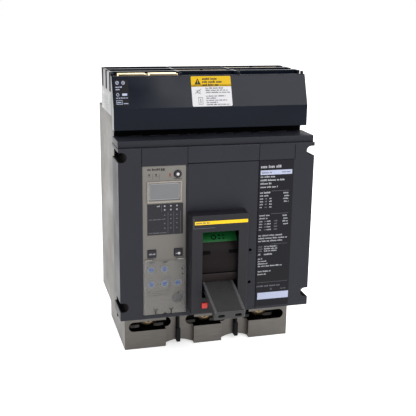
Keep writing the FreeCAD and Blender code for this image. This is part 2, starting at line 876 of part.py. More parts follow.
def keys_and_dials():
    """Two push keys, the reset button, the rating plug and five setting dials."""
    for name, x in KEYS.items():
        key = front_plate(name, (f"{x} - key_half_wide", f"{x} + key_half_wide"),
                          ("key_height - key_half_high", "key_height + key_half_high"),
                          ("key_front", "key_back"))
        behind = value("key_back - 0.1")
        round_edges(key, value("key_round"), lambda middle, way: middle.y < behind)
        stem = sketch_on(key, "XZ", "board_front - key_travel")
        circle(stem, x, "key_height", "stem_radius")
        pad(key, stem, "board_front - key_travel - key_back")
        finish(name, key)
    reset = turned("reset_button", "reset_x", "reset_height",
                   [("reset_front", "reset_back", "reset_radius"),
                    ("reset_back", "board_front - reset_travel", "stem_radius")])
    finish("reset_button", reset)
    plug = turned("rating_plug", "plug_x", "plug_height", [("plug_front", "board_front", "plug_radius")])
    socket = sketch_on(plug, "XZ", "plug_front")
    circle(socket, "plug_x", "plug_height", "plug_socket")
    pocket(plug, socket, "plug_socket_deep")
    finish("rating_plug", plug)
    for number, (x, height) in enumerate(DIALS, start=1):
        dial = turned(f"dial_{number}", x, height,
                      [("dial_front", "dial_back", "dial_radius"),
                       ("dial_back", "board_front - 0.3", "stem_radius")])
        slot = sketch_on(dial, "XZ", "dial_front")
        rectangle(slot, (f"{x} - dial_slot_half_wide", f"{x} + dial_slot_half_wide"),
                  (f"{height} - dial_slot_half", f"{height} + dial_slot_half"))
        pocket(dial, slot, "dial_slot_deep")
        finish(f"dial_{number}", dial)


def settings_cover():
    """Clear flap over the dials, hung from two knuckles on a pin."""
    flap = front_plate("settings_cover", ("flap_left", "flap_right"), ("flap_low", "flap_high"),
                       ("flap_front", "flap_back"))
    for x in ("knuckle_left", "knuckle_right"):
        knuckle = sketch_on(flap, "YZ", f"{x} - knuckle_half")
        outline(knuckle, [("flap_front", "flap_high - 1"), ("flap_back", "flap_high - 1"),
                          ("hinge_depth + knuckle_reach", "hinge_height - knuckle_rise"),
                          ("hinge_depth + knuckle_reach", "hinge_height + knuckle_rise"),
                          ("flap_front", "hinge_height + knuckle_rise")])
        pad(flap, knuckle, "2 * knuckle_half")
        bore = sketch_on(flap, "YZ", f"{x} - knuckle_half - 1")
        circle(bore, "hinge_depth", "hinge_height", "hinge_radius + running")
        pocket(flap, bore, "2 * knuckle_half + 2", forwards=True)
    finish("settings_cover", flap)
    ends = ("knuckle_left - knuckle_half - 0.3", "knuckle_left + knuckle_half + 2.3")
    others = ("knuckle_right - knuckle_half - 2.3", "knuckle_right + knuckle_half + 0.3")
    pins = [rod("x", ("hinge_depth", "hinge_height"), span, "hinge_radius") for span in (ends, others)]
    finish("settings_cover_pin", group(*pins))


def trip_unit_inside():
    """Circuit board and the plunger magnet that works the trip bar."""
    board = front_plate("circuit_board", ("trip_left + skin", "trip_right - skin"),
                        ("trip_low + skin", "trip_high - skin"), ("board_front", "board_front + board_gauge"))
    finish("circuit_board", board)
    magnet = fuse(block(("magnet_x - magnet_half", "magnet_x + magnet_half"),
                        ("magnet_front", "tray_back - tray_wall"), ("trip_low + skin", "magnet_top")),
                  rod("y", ("magnet_x", "stem_height"), ("tray_back - tray_wall", "lever_front - lever_gap"),
                      "magnet_pin"))
    finish("trip_actuator", magnet)


# ---- mechanism -------------------------------------------------------------------------------

def turn_about_pivot(thing, angle):
    """Seat a piece drawn about the handle's pivot, turned down by an angle."""
    thing.Placement = FreeCAD.Placement(Vector(), FreeCAD.Rotation(Vector(1, 0, 0), value(angle)))
    bind(thing, Placement__Rotation__Angle=angle, Placement__Base__y="face + pivot_depth",
         Placement__Base__z="foot + pivot_height")


def handle():
    """Paddle of the handle, drawn about its pivot and pointing forward."""
    body = new_body("handle")
    sections = []
    for end in ("root", "tip"):
        section = sketch_on(body, "XZ", f"-{end}_reach")
        rectangle(section, (f"handle_centre - {end}_half_wide", f"handle_centre + {end}_half_wide"),
                  (f"{end}_low", "paddle_high"))
        sections.append(section)
    loft = body.newObject("PartDesign::AdditiveLoft", "loft")
    loft.Profile = sections[0]
    loft.Sections = sections[1:]
    loft.Ruled = True
    doc.recompute()
    near_tip = value("-tip_reach + 1")
    round_edges(body, value("paddle_round"), lambda middle, way: middle.y < near_tip or abs(way.y) > 0.9)
    middle = "(tip_low + paddle_high) / 2"
    for side in (-1, 1):
        x = f"handle_centre + {side} * grip_hole_x"
        slot = sketch_on(body, "XZ", "-tip_reach - 1")
        rectangle(slot, (f"{x} - grip_hole_straight", f"{x} + grip_hole_straight"),
                  (f"{middle} - grip_hole_radius", f"{middle} + grip_hole_radius"))
        pocket(body, slot, "grip_hole_deep + 1")
        for end in (-1, 1):
            round_end = sketch_on(body, "XZ", "-tip_reach - 1")
            circle(round_end, f"{x} + {end} * grip_hole_straight", middle, "grip_hole_radius")
            pocket(body, round_end, "grip_hole_deep + 1")
    finish("handle", body)
    turn_about_pivot(body, "handle_rest")


def indicator_shutter():
    """Curved shutter that turns with the handle and closes the recess round it."""
    body = new_body("indicator_shutter")
    section = sketch_on(body, "XY")
    rectangle(section, ("drum_left", "drum_right"), ("-drum_outer", "-drum_inner"))
    drum = body.newObject("PartDesign::Revolution", "revolution")
    drum.Profile = section
    drum.ReferenceAxis = (section, ["H_Axis"])
    drum.Midplane = True
    bind(drum, Angle="drum_sweep")
    doc.recompute()
    window = sketch_on(body, "XZ", "-drum_outer - 1")
    rectangle(window, ("handle_centre - root_half_wide - 0.1", "handle_centre + root_half_wide + 0.1"),
              ("root_low - 1.2", "paddle_high + 0.6"))
    pocket(body, window, "drum_outer / 2")
    finish("indicator_shutter", body)
    turn_about_pivot(body, "handle_rest")


def handle_yoke():
    """Steel yoke inside the shutter: two arms from the pivots to the handle, joined by a spring pin."""
    arms = []
    for side in (-1, 1):
        centre = f"{side} * (yoke_outer - yoke_gauge / 2) + handle_centre"
        wide = (f"{centre} - yoke_gauge / 2", f"{centre} + yoke_gauge / 2")
        arm = fuse(block(wide, ("-root_reach", "0"), ("-yoke_half", "yoke_half")),
                   rod("x", ("0", "0"), wide, "yoke_half"))
        arms.append(cut(arm, rod("x", ("0", "0"), (f"{wide[0]} - 1", f"{wide[1]} + 1"),
                                 "pivot_radius + running")))
    between = ("-yoke_outer + 1 + handle_centre", "yoke_outer - 1 + handle_centre")
    pin = rod("x", ("-anchor_reach", "0"), between, "anchor_radius")
    bridge = block(between, ("-root_reach", "-root_reach + yoke_gauge"), ("root_low + 1", "yoke_half"))
    yoke = finish("handle_yoke", fuse(*arms, pin, bridge))
    turn_about_pivot(yoke, "handle_rest")
    springs = []
    for side in (-1, 1):
        x = f"{side} * spring_x + handle_centre"
        wide = (f"{x} - hook_half", f"{x} + hook_half")
        coil = rod("y", (x, "spring_rise"), ("-anchor_reach + spring_inset", "spring_back - 4"),
                   "spring_radius")
        hook = block(wide, ("-anchor_reach + anchor_radius + 0.1", "-anchor_reach + spring_inset + 0.5"),
                     ("-1", "spring_rise + hook_half"))
        tail = block(wide, ("spring_back - 4.5", "spring_back"),
                     ("spring_rise - hook_half", "spring_rise + hook_half"))
        springs.append(fuse(coil, hook, tail))
    spring_pair = finish("mechanism_springs", group(*springs))
    turn_about_pivot(spring_pair, "handle_rest")


def mechanism_frame():
    """Two side plates joined by bridges, with the crossbar's bearings and the handle's pivots."""
    gap = ("-plate_inner", "plate_inner")
    plates = [block(sided(side, "plate_inner", "plate_inner + plate_gauge"), ("plate_front", "plate_back"),
                    ("plate_low", "plate_high")) for side in (-1, 1)]
    low_bridge = block(gap, ("low_bridge_depth", "low_bridge_depth + plate_gauge"),
                       ("plate_low + 2", "low_bridge_high"))
    top_bridge = block(gap, ("top_bridge_front", "top_bridge_back"),
                       ("plate_high - plate_gauge", "plate_high"))
    through = ("-plate_inner - plate_gauge - 1", "plate_inner + plate_gauge + 1")
    holes = [rod("x", ("bar_depth", "bar_height"), through, "bar_radius + running"),
             rod("x", ("pivot_depth", "pivot_height"), through, "pivot_radius"),
             rod("x", ("cradle_depth", "cradle_height"), through, "pivot_radius + running")]
    finish("mechanism_frame", cut(fuse(*plates, low_bridge, top_bridge), *holes))
    pins = [rod("x", ("pivot_depth", "pivot_height"), span, "pivot_radius")
            for span in (("-plate_inner - plate_gauge", "-yoke_outer + yoke_gauge + handle_centre"),
                         ("yoke_outer - yoke_gauge + handle_centre", "plate_inner + plate_gauge"))]
    finish("handle_pivots", group(*pins))


def cradle():
    """Latched cradle: a plate hung from its own pivot, its lower end over the trip bar."""
    body = side_profile("cradle", ("-2", "2"),
                        [("cradle_depth - 7", "cradle_height"), ("cradle_depth + 6", "cradle_height + 2"),
                         ("cradle_depth - 6", "cradle_knee"), ("cradle_foot_back", "cradle_foot"),
                         ("cradle_foot_front", "cradle_foot"), ("cradle_foot_front", "cradle_foot + 5"),
                         ("cradle_foot_back + 2", "cradle_knee")])
    shaft = sketch_on(body, "YZ", "-plate_inner - plate_gauge")
    circle(shaft, "cradle_depth", "cradle_height", "pivot_radius")
    pad(body, shaft, "2 * (plate_inner + plate_gauge)")
    finish("cradle", body)


def trip_bar():
    """Trip bar across the trip unit and the mechanism, with a lever for each."""
    bar = rod("x", ("trip_bar_depth", "trip_bar_height"), ("trip_bar_left", "trip_bar_right"),
              "trip_bar_radius")
    levers = [block((f"{x} - lever_half", f"{x} + lever_half"), ("lever_front", "lever_front + lever_gauge"),
                    ("trip_bar_height", "lever_top")) for x in ("magnet_x", "button_x")]
    finish("trip_bar", fuse(bar, *levers))


def push_to_trip_button():
    """Red button on the handle block, with the stem that reaches the trip bar."""
    body = front_plate("push_to_trip_button", ("button_x - button_half", "button_x + button_half"),
                       ("button_height - button_half", "button_height + button_half"),
                       ("-block_rise - button_proud", "-block_rise + button_back"))
    stem = sketch_on(body, "XZ", "lever_front - lever_gap")
    circle(stem, "button_x", "stem_height", "magnet_pin")
    pad(body, stem, "lever_front - lever_gap + block_rise - button_back")
    finish("push_to_trip_button", body)


def crossbar():
    """Crossbar of the three poles, and a contact arm with its pad for each."""
    pieces = [rod("x", ("bar_depth", "bar_height"), ("-bar_half", "bar_half"), "bar_radius")]
    for x in POLES.values():
        for side in (-1, 1):
            collar = f"{x} + {side} * (arm_half + collar / 2)"
            pieces.append(rod("x", ("bar_depth", "bar_height"),
                              (f"{collar} - collar / 2", f"{collar} + collar / 2"), "bar_radius + 2.5"))
    finish("crossbar", fuse(*pieces))
    for pole, x in POLES.items():
        wide = (f"{x} - arm_half", f"{x} + arm_half")
        arm = fuse(rod("x", ("0", "0"), wide, "hub_radius"),
                   block(wide, ("-arm_thick / 2", "arm_thick / 2"), ("0", "arm_length")),
                   block(wide, ("arm_thick / 2", "arm_thick / 2 + pad_gauge"),
                         ("arm_length - 10", "arm_length")))
        bored = cut(arm, rod("x", ("0", "0"), (f"{wide[0]} - 1", f"{wide[1]} + 1"), "bar_radius"))
        finish(f"contact_arm_{pole}", bored)
        bored.Placement = FreeCAD.Placement(Vector(), FreeCAD.Rotation(Vector(1, 0, 0), value("arm_rest")))
        bind(bored, Placement__Rotation__Angle="arm_rest", Placement__Base__y="face + bar_depth",
             Placement__Base__z="foot + bar_height")


# ---- current path ----------------------------------------------------------------------------

def line_terminals():
    """Line copper: fixed contact, strap up the chamber, run forward and riser to the jaws."""
    for pole, x in POLES.items():
        row = row_depth(pole)
        near = f"{row} - copper / 2"
        far = f"{row} + copper / 2"
        back = "terminal_front + copper"
        body = side_profile(f"line_terminal_{pole}", (f"{x} - riser_half", f"{x} + riser_half"),
                            [("terminal_front", "terminal_low"), (back, "terminal_low"),
                             (back, "run_low + copper"), (far, "run_low + copper"),
                             (far, "base_top + housing_floor"), (near, "base_top + housing_floor"),
                             (near, "run_low"), ("terminal_front", "run_low")])
        contact = sketch_on(body, "YZ", f"{x} - arm_half")
        rectangle(contact, ("contact_front", "terminal_front"), ("terminal_low + 4", "terminal_low + 16"))
        pad(body, contact, "2 * arm_half")
        finish(f"line_terminal_{pole}", body)


JAW_SPANS = {
    1: [("-jaw_outer", "-jaw_split_out"), ("-jaw_split_in", "-jaw_inner")],
    2: [("-post_x + post_half + jaw_post_gap", "-jaw_middle_gap"),
        ("jaw_middle_gap", "post_x - post_half - jaw_post_gap")],
    3: [("jaw_inner", "jaw_split_in"), ("jaw_split_out", "jaw_outer")],
}


def line_jaws():
    """Plug-on jaws: per pole two spring clips joined at the foot, open along X for the bus bar."""
    for pole, spans in JAW_SPANS.items():
        row = row_depth(pole)
        floor = "base_top + housing_floor"
        clips = []
        for x in spans:
            for side in (-1, 1):
                inner = f"{row} + {side} * jaw_gap / 2"
                outer = f"{row} + {side} * (jaw_gap / 2 + leaf)"
                flare = f"{row} + {side} * (jaw_gap / 2 + leaf + flare)"
                root = f"{floor} + jaw_foot - leaf"
                clips.append((x, [(inner, root), (outer, root), (outer, "jaw_throat"), (flare, "jaw_top"),
                                  (outer, "jaw_top"), (inner, "jaw_throat")]))
        body = side_profile(f"line_jaw_{pole}", (spans[0][0], spans[1][1]),
                            [(f"{row} - jaw_gap / 2 - leaf", floor), (f"{row} + jaw_gap / 2 + leaf", floor),
                             (f"{row} + jaw_gap / 2 + leaf", f"{floor} + jaw_foot"),
                             (f"{row} - jaw_gap / 2 - leaf", f"{floor} + jaw_foot")])
        for x, points in clips:
            sketch = sketch_on(body, "YZ", x[0])
            outline(sketch, points)
            pad(body, sketch, f"({x[1]}) - ({x[0]})")
        finish(f"line_jaw_{pole}", body)


def arc_chutes():
    """Arc chutes: a stack of steel plates between two side boards in each pole."""
    pieces = []
    for pole, x in POLES.items():
        for step in range(7):
            low = f"chute_low + {step} * chute_pitch"
            pieces.append(block((f"{x} - chute_half", f"{x} + chute_half"), ("chute_front", "chute_back"),
                                (low, f"{low} + chute_plate")))
        for side in (-1, 1):
            middle = f"{x} + {side} * chute_board_x"
            pieces.append(block((f"{middle} - chute_board_half", f"{middle} + chute_board_half"),
                                ("chute_front - 2", "chute_back + 1"),
                                ("chute_board_low", "chute_board_high")))
    finish("arc_chutes", group(*pieces))


def load_side():
    """Load straps, flexible connectors up to the arms and a current transformer round each strap."""
    straps = [block((f"{x} - strap_half", f"{x} + strap_half"), ("strap_depth", "strap_depth + copper"),
                    ("strap_low", "strap_top")) for x in POLES.values()]
    finish("load_straps", group(*straps))
    braids = []
    for x in POLES.values():
        wide = (f"{x} - braid_half", f"{x} + braid_half")
        riser = block(wide, ("strap_depth - 5", "strap_depth + copper"), ("strap_top", "strap_top + copper"))
        rise = block(wide, ("strap_depth - braid_gauge", "strap_depth"),
                     ("strap_top + 2", "bar_height - hub_radius - 0.6"))
        braids.append(fuse(riser, rise))
    finish("flexible_connectors", group(*braids))
    rings = [cut(block((f"{x} - ring_half", f"{x} + ring_half"), ("ring_front", "ring_back"),
                       ("ring_low", "ring_high")),
                 block((f"{x} - strap_half - 1", f"{x} + strap_half + 1"),
                       ("strap_depth - 1", "strap_depth + copper + 1"), ("ring_low - 1", "ring_high + 1")))
             for x in POLES.values()]
    finish("current_transformers", group(*rings))


LUG_OUTLINES = {
    1: [("-lug_outer", "lug_front"), ("-lug_step", "lug_front"), ("-lug_step", "wing_front"),
        ("-lug_inner", "wing_front"), ("-lug_inner", "lug_back"), ("-lug_outer", "lug_back")],
    2: [("-mid_step", "lug_front"), ("mid_step", "lug_front"), ("mid_step", "wing_front"),
        ("mid_half", "wing_front"), ("mid_half", "lug_back"), ("-mid_half", "lug_back"),
        ("-mid_half", "wing_front"), ("-mid_step", "wing_front")],
    3: [("lug_step", "lug_front"), ("lug_outer", "lug_front"), ("lug_outer", "lug_back"),
        ("lug_inner", "lug_back"), ("lug_inner", "wing_front"), ("lug_step", "wing_front")],
}
SLOT_CENTRES = {1: "-slot_x", 2: "0", 3: "slot_x"}


def load_lugs():
    """Load lugs: a stepped block with a stadium slot, two wire bores and a seat for the strap."""
    for pole, points in LUG_OUTLINES.items():
        x = SLOT_CENTRES[pole]
        body = new_body(f"load_lug_{pole}")
        plan = sketch_on(body, "XY", "lug_low")
        outline(plan, points)
        pad(body, plan, "lug_top - lug_low")
        slot = sketch_on(body, "XZ", "lug_front")
        straight = "slot_reach - slot_radius"
        rectangle(slot, (f"{x} - ({straight})", f"{x} + {straight}"),
                  ("slot_height - slot_radius", "slot_height + slot_radius"))
        pocket(body, slot, "cavity_front - lug_front + 1")
        for side in (-1, 1):
            end = sketch_on(body, "XZ", "lug_front")
            circle(end, f"{x} + {side} * ({straight})", "slot_height", "slot_radius")
            pocket(body, end, "cavity_front - lug_front + 1")
        cavity = sketch_on(body, "XY", "lug_top")
        rectangle(cavity, (f"{x} - slot_reach", f"{x} + slot_reach"), ("cavity_front", "cavity_back"))
        pocket(body, cavity, "lug_top - cavity_low")
        wires = sketch_on(body, "XY", "lug_low")
        for side in (-1, 1):
            circle(wires, f"{x} + {side} * wire_x", "wire_depth", "wire_radius")
        pocket(body, wires, "wire_top - lug_low", forwards=True)
        seat = sketch_on(body, "XY", "lug_top")
        rectangle(seat, (f"{POLES[pole]} - strap_half - play", f"{POLES[pole]} + strap_half + play"),
                  ("strap_depth - play", "strap_depth + copper + play"))
        pocket(body, seat, "lug_top - strap_low + play")
        for side in {1: [-1], 2: [-1, 1], 3: [1]}[pole]:
            arch = sketch_on(body, "XZ", "lug_front - 1")
            circle(arch, f"{side} * arch_x", "lug_low + arch_rise - arch_radius", "arch_radius")
            pocket(body, arch, "lug_back - lug_front + 2")
        finish(f"load_lug_{pole}", body)
    screws = []
    bars = []
    for x in SLOT_CENTRES.values():
        head = rod("y", (x, "binding_height"), ("binding_front", "binding_front + binding_gauge"),
                   "binding_radius")
        socket = rod("y", (x, "binding_height"), ("binding_front - 1", "binding_front + binding_socket_deep"),
                     "binding_socket")
        screws.append(cut(head, socket))
        behind = "binding_front + binding_gauge"
        bars.append(block((f"{x} - pressure_half", f"{x} + pressure_half"),
                          (behind, f"{behind} + pressure_gauge"), ("pressure_low", "pressure_high")))
    finish("lug_screws", group(*screws))
    finish("pressure_bars", group(*bars))


def check_and_write():
    """Test every object and sub-part, then write one file per sub-part."""
    doc.recompute()
    for thing in doc.Objects:
        if "Invalid" in thing.State or "Error" in thing.State:
            raise ValueError(f"{thing.Name} failed")
    for name, thing in PARTS.items():
        if thing.Shape.isNull() or not thing.Shape.isValid():
            raise ValueError(f"{name} has no valid shape")
    os.makedirs("parts", exist_ok=True)
    for name, thing in PARTS.items():
        thing.Shape.exportStep(f"parts/{name}.step")
        print(f"{name}: {len(thing.Shape.Solids)} solid(s), {thing.Shape.Volume / 1000:.1f} cm3")


write_sheet()
for build in (base_case, case_screws, front_cover, arc_vent_bar, accessory_cover, handle_escutcheon, labels,
              line_end_hood, line_end_housing, mounting_straps, phase_separators, trip_unit_case,
              trip_unit_face, display_parts, keys_and_dials, settings_cover, trip_unit_inside, handle,
              indicator_shutter, handle_yoke, mechanism_frame, cradle, trip_bar, push_to_trip_button,
              crossbar, line_terminals, line_jaws, arc_chutes, load_side, load_lugs):
    build()
check_and_write()
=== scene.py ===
"""Looks of the three-pole plug-on breaker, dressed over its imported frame.

Places are given in the cover's frame, in millimetres: x from the centre, depth back from the face of
the front cover and height up from its foot. at() turns them into metres in the row frame.
"""

import json
import math
import random

import bmesh
import bpy
from mathutils import Matrix, Vector


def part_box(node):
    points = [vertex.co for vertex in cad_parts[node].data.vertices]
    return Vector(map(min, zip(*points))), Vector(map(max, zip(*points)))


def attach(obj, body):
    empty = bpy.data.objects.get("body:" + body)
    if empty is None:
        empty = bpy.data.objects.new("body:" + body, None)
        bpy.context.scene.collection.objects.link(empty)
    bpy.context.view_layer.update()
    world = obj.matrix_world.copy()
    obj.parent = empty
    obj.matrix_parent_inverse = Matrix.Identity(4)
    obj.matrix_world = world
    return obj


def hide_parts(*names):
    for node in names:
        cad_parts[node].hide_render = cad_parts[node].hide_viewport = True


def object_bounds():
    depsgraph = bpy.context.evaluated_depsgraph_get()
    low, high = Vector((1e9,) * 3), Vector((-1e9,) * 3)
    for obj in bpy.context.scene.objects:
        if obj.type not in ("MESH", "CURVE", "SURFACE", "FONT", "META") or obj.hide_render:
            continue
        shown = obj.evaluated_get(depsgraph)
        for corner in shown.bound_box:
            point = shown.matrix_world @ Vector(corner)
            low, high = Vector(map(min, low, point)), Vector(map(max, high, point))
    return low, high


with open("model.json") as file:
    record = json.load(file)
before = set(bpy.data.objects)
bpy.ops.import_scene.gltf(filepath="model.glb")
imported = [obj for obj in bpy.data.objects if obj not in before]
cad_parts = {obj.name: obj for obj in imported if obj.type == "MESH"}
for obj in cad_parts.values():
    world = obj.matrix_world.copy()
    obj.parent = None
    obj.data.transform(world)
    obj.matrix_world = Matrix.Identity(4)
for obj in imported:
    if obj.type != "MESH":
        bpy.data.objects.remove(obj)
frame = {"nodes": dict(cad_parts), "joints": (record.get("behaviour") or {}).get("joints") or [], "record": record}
CAD_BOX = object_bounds()
NODES = frame["nodes"]
BODY_OF = {node: body for body, nodes in frame["record"]["behaviour"]["bodies"].items() for node in nodes}
MM = 0.001
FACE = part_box("front_cover")[0].y
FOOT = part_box("front_cover")[0].z
NOTCH_HEIGHTS = (15, 175)
LUG_CENTRES = (-66, 0, 66)
TRIP_FACE = 1.0  # depth of the trip unit's plate
DRUM = 40  # radius of the shutter's curved face
HANDLE_LEAN = math.radians(18.5)  # how far the paddle points below the horizontal at rest
DIAL_ZERO = 210  # bearing of a dial's pointer at its lower stop, in degrees
POINTER_RISE = 0.42
KNURL_SIDES = 156  # six steps to each of a knurl's 26 ridges


def at(x, depth, height):
    """A point of the cover's frame, in the row frame."""
    return Vector((x * MM, FACE + depth * MM, FOOT + height * MM))


def seen(point):
    """A point of the row frame as x, depth and height."""
    return point.x / MM, (point.y - FACE) / MM, (point.z - FOOT) / MM


def span(node):
    """A node's box at rest as (x, x), (depth, depth), (height, height)."""
    low, high = (seen(corner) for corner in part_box(node))
    return tuple(zip(low, high))


SWING = next(joint for joint in frame["joints"] if joint["name"] == "handle_swing")
PIVOT = seen(Vector(SWING["pos_m"]))[1:]


# ---- materials -------------------------------------------------------------------------------

class Shader:
    """One Principled surface whose textures are laid on in the object's own space."""

    def __init__(self, name, **sockets):
        self.material = bpy.data.materials.new(name)
        self.material.use_nodes = True
        self.tree = self.material.node_tree
        self.tree.nodes.clear()
        self.out = self.add("ShaderNodeOutputMaterial")
        self.surface = self.add("ShaderNodeBsdfPrincipled")
        for socket, amount in sockets.items():
            self.surface.inputs[socket.replace("_", " ")].default_value = amount
        self.join(self.surface.outputs[0], self.out.inputs["Surface"])
        self.where = self.add("ShaderNodeTexCoord").outputs["Object"]
        self.rounded = None

    def add(self, kind, **settings):
        node = self.tree.nodes.new(kind)
        for key, setting in settings.items():
            setattr(node, key, setting)
        return node

    def join(self, source, target):
        if isinstance(source, (int, float, tuple)):
            target.default_value = source
        else:
            self.tree.links.new(source, target)

    def math(self, operation, first, second=0.0):
        node = self.add("ShaderNodeMath", operation=operation)
        self.join(first, node.inputs[0])
        self.join(second, node.inputs[1])
        return node.outputs[0]

    def scaled(self, vector, factor):
        node = self.add("ShaderNodeVectorMath", operation="SCALE")
        self.join(vector, node.inputs[0])
        self.join(factor, node.inputs["Scale"])
        return node.outputs[0]

    def noise(self, size_mm, detail=2.0, stretch=(1, 1, 1)):
        """Noise between 0 and 1 whose patches are about size_mm across, longer where stretch is above 1."""
        mapping = self.add("ShaderNodeMapping")
        mapping.inputs["Scale"].default_value = [1 / amount for amount in stretch]
        self.join(self.where, mapping.inputs["Vector"])
        texture = self.add("ShaderNodeTexNoise")
        texture.inputs["Scale"].default_value = 1000 / size_mm
        texture.inputs["Detail"].default_value = detail
        self.join(mapping.outputs[0], texture.inputs["Vector"])
        spread = self.add("ShaderNodeMapRange")
        spread.inputs["From Min"].default_value = 0.3
        spread.inputs["From Max"].default_value = 0.7
        self.join(texture.outputs[0], spread.inputs["Value"])
        return spread.outputs[0]

    def edges(self, radius_mm):
        """1 along edges and 0 on flats."""
        self.rounded = self.add("ShaderNodeBevel", samples=6)
        self.rounded.inputs["Radius"].default_value = radius_mm * MM
        plain = self.add("ShaderNodeNewGeometry")
        turn = self.add("ShaderNodeVectorMath", operation="DOT_PRODUCT")
        self.join(self.rounded.outputs[0], turn.inputs[0])
        self.join(plain.outputs["Normal"], turn.inputs[1])
        spread = self.add("ShaderNodeMapRange")
        spread.inputs["From Min"].default_value = 0.995
        spread.inputs["From Max"].default_value = 0.8
        self.join(turn.outputs["Value"], spread.inputs["Value"])
        return spread.outputs[0]

    def fading(self, low, high, foot, head):
        """A number that goes from foot at one height of the cover's frame to head at another."""
        parts = self.add("ShaderNodeSeparateXYZ")
        self.join(self.where, parts.inputs[0])
        spread = self.add("ShaderNodeMapRange")
        for socket, amount in (("From Min", at(0, 0, low).z), ("From Max", at(0, 0, high).z),
                               ("To Min", foot), ("To Max", head)):
            spread.inputs[socket].default_value = amount
        self.join(parts.outputs["Z"], spread.inputs["Value"])
        return spread.outputs[0]

    def mixed(self, factor, first, second):
        node = self.add("ShaderNodeMix", data_type="RGBA")
        self.join(factor, node.inputs["Factor"])
        self.join(first, node.inputs["A"])
        self.join(second, node.inputs["B"])
        return node.outputs["Result"]

    def bumped(self, height, depth_mm):
        bump = self.add("ShaderNodeBump")
        bump.inputs["Distance"].default_value = depth_mm * MM
        self.join(height, bump.inputs["Height"])
        if self.rounded:
            self.join(self.rounded.outputs[0], bump.inputs["Normal"])
        self.join(bump.outputs[0], self.surface.inputs["Normal"])


def rgba(colour, factor=1.0, lift=0.0):
    return tuple(min(1.0, part * factor + lift) for part in colour[:3]) + (1.0,)


def finish_of(name, colour, rough=0.4, mottle=0.12, grain=0.1, grain_mm=0.5, bump_mm=0.006, wear=0.25,
              wear_lift=0.03, stretch=(1, 1, 1), shine=0.5, height_ramp=None, **sockets):
    """A moulded, cast or brushed finish: patches, grain, rubbed edges, uneven gloss and a fine relief."""
    shader = Shader(name, Specular_IOR_Level=shine, **sockets)
    patches = shader.noise(38, 3.0)
    specks = shader.noise(grain_mm, 2.0, stretch)
    level = shader.math("MULTIPLY_ADD", patches, 2 * mottle)
    level.node.inputs[2].default_value = 1 - mottle
    speckled = shader.math("MULTIPLY_ADD", specks, 2 * grain)
    speckled.node.inputs[2].default_value = 1 - grain
    tone = shader.scaled(colour[:3], shader.math("MULTIPLY", level, speckled))
    if height_ramp:
        tone = shader.scaled(tone, shader.fading(*height_ramp))
    if wear:
        rubbed = shader.math("MULTIPLY", shader.edges(0.5),
                             shader.math("MULTIPLY", shader.noise(6, 4.0), wear))
        tone = shader.mixed(rubbed, tone, rgba(colour, 1.6, wear_lift))
    shader.join(tone, shader.surface.inputs["Base Color"])
    gloss = shader.math("MULTIPLY_ADD", patches, 0.14)
    gloss.node.inputs[2].default_value = rough - 0.09
    shader.join(shader.math("MULTIPLY_ADD", specks, 0.04), shader.surface.inputs["Roughness"])
    mixed = shader.surface.inputs["Roughness"].links[0].from_node
    shader.join(gloss, mixed.inputs[2])
    shader.bumped(specks, bump_mm)
    return shader.material


def brushed(name, colour, rough, along, **sockets):
    """Drawn or milled metal with its lines along one axis."""
    stretch = tuple(60 if axis == along else 1 for axis in "xyz")
    return finish_of(name, colour, rough, mottle=0.14, grain=0.16, grain_mm=0.35, bump_mm=0.004, wear=0.35,
                     wear_lift=0.12, stretch=stretch, Metallic=1.0, **sockets)


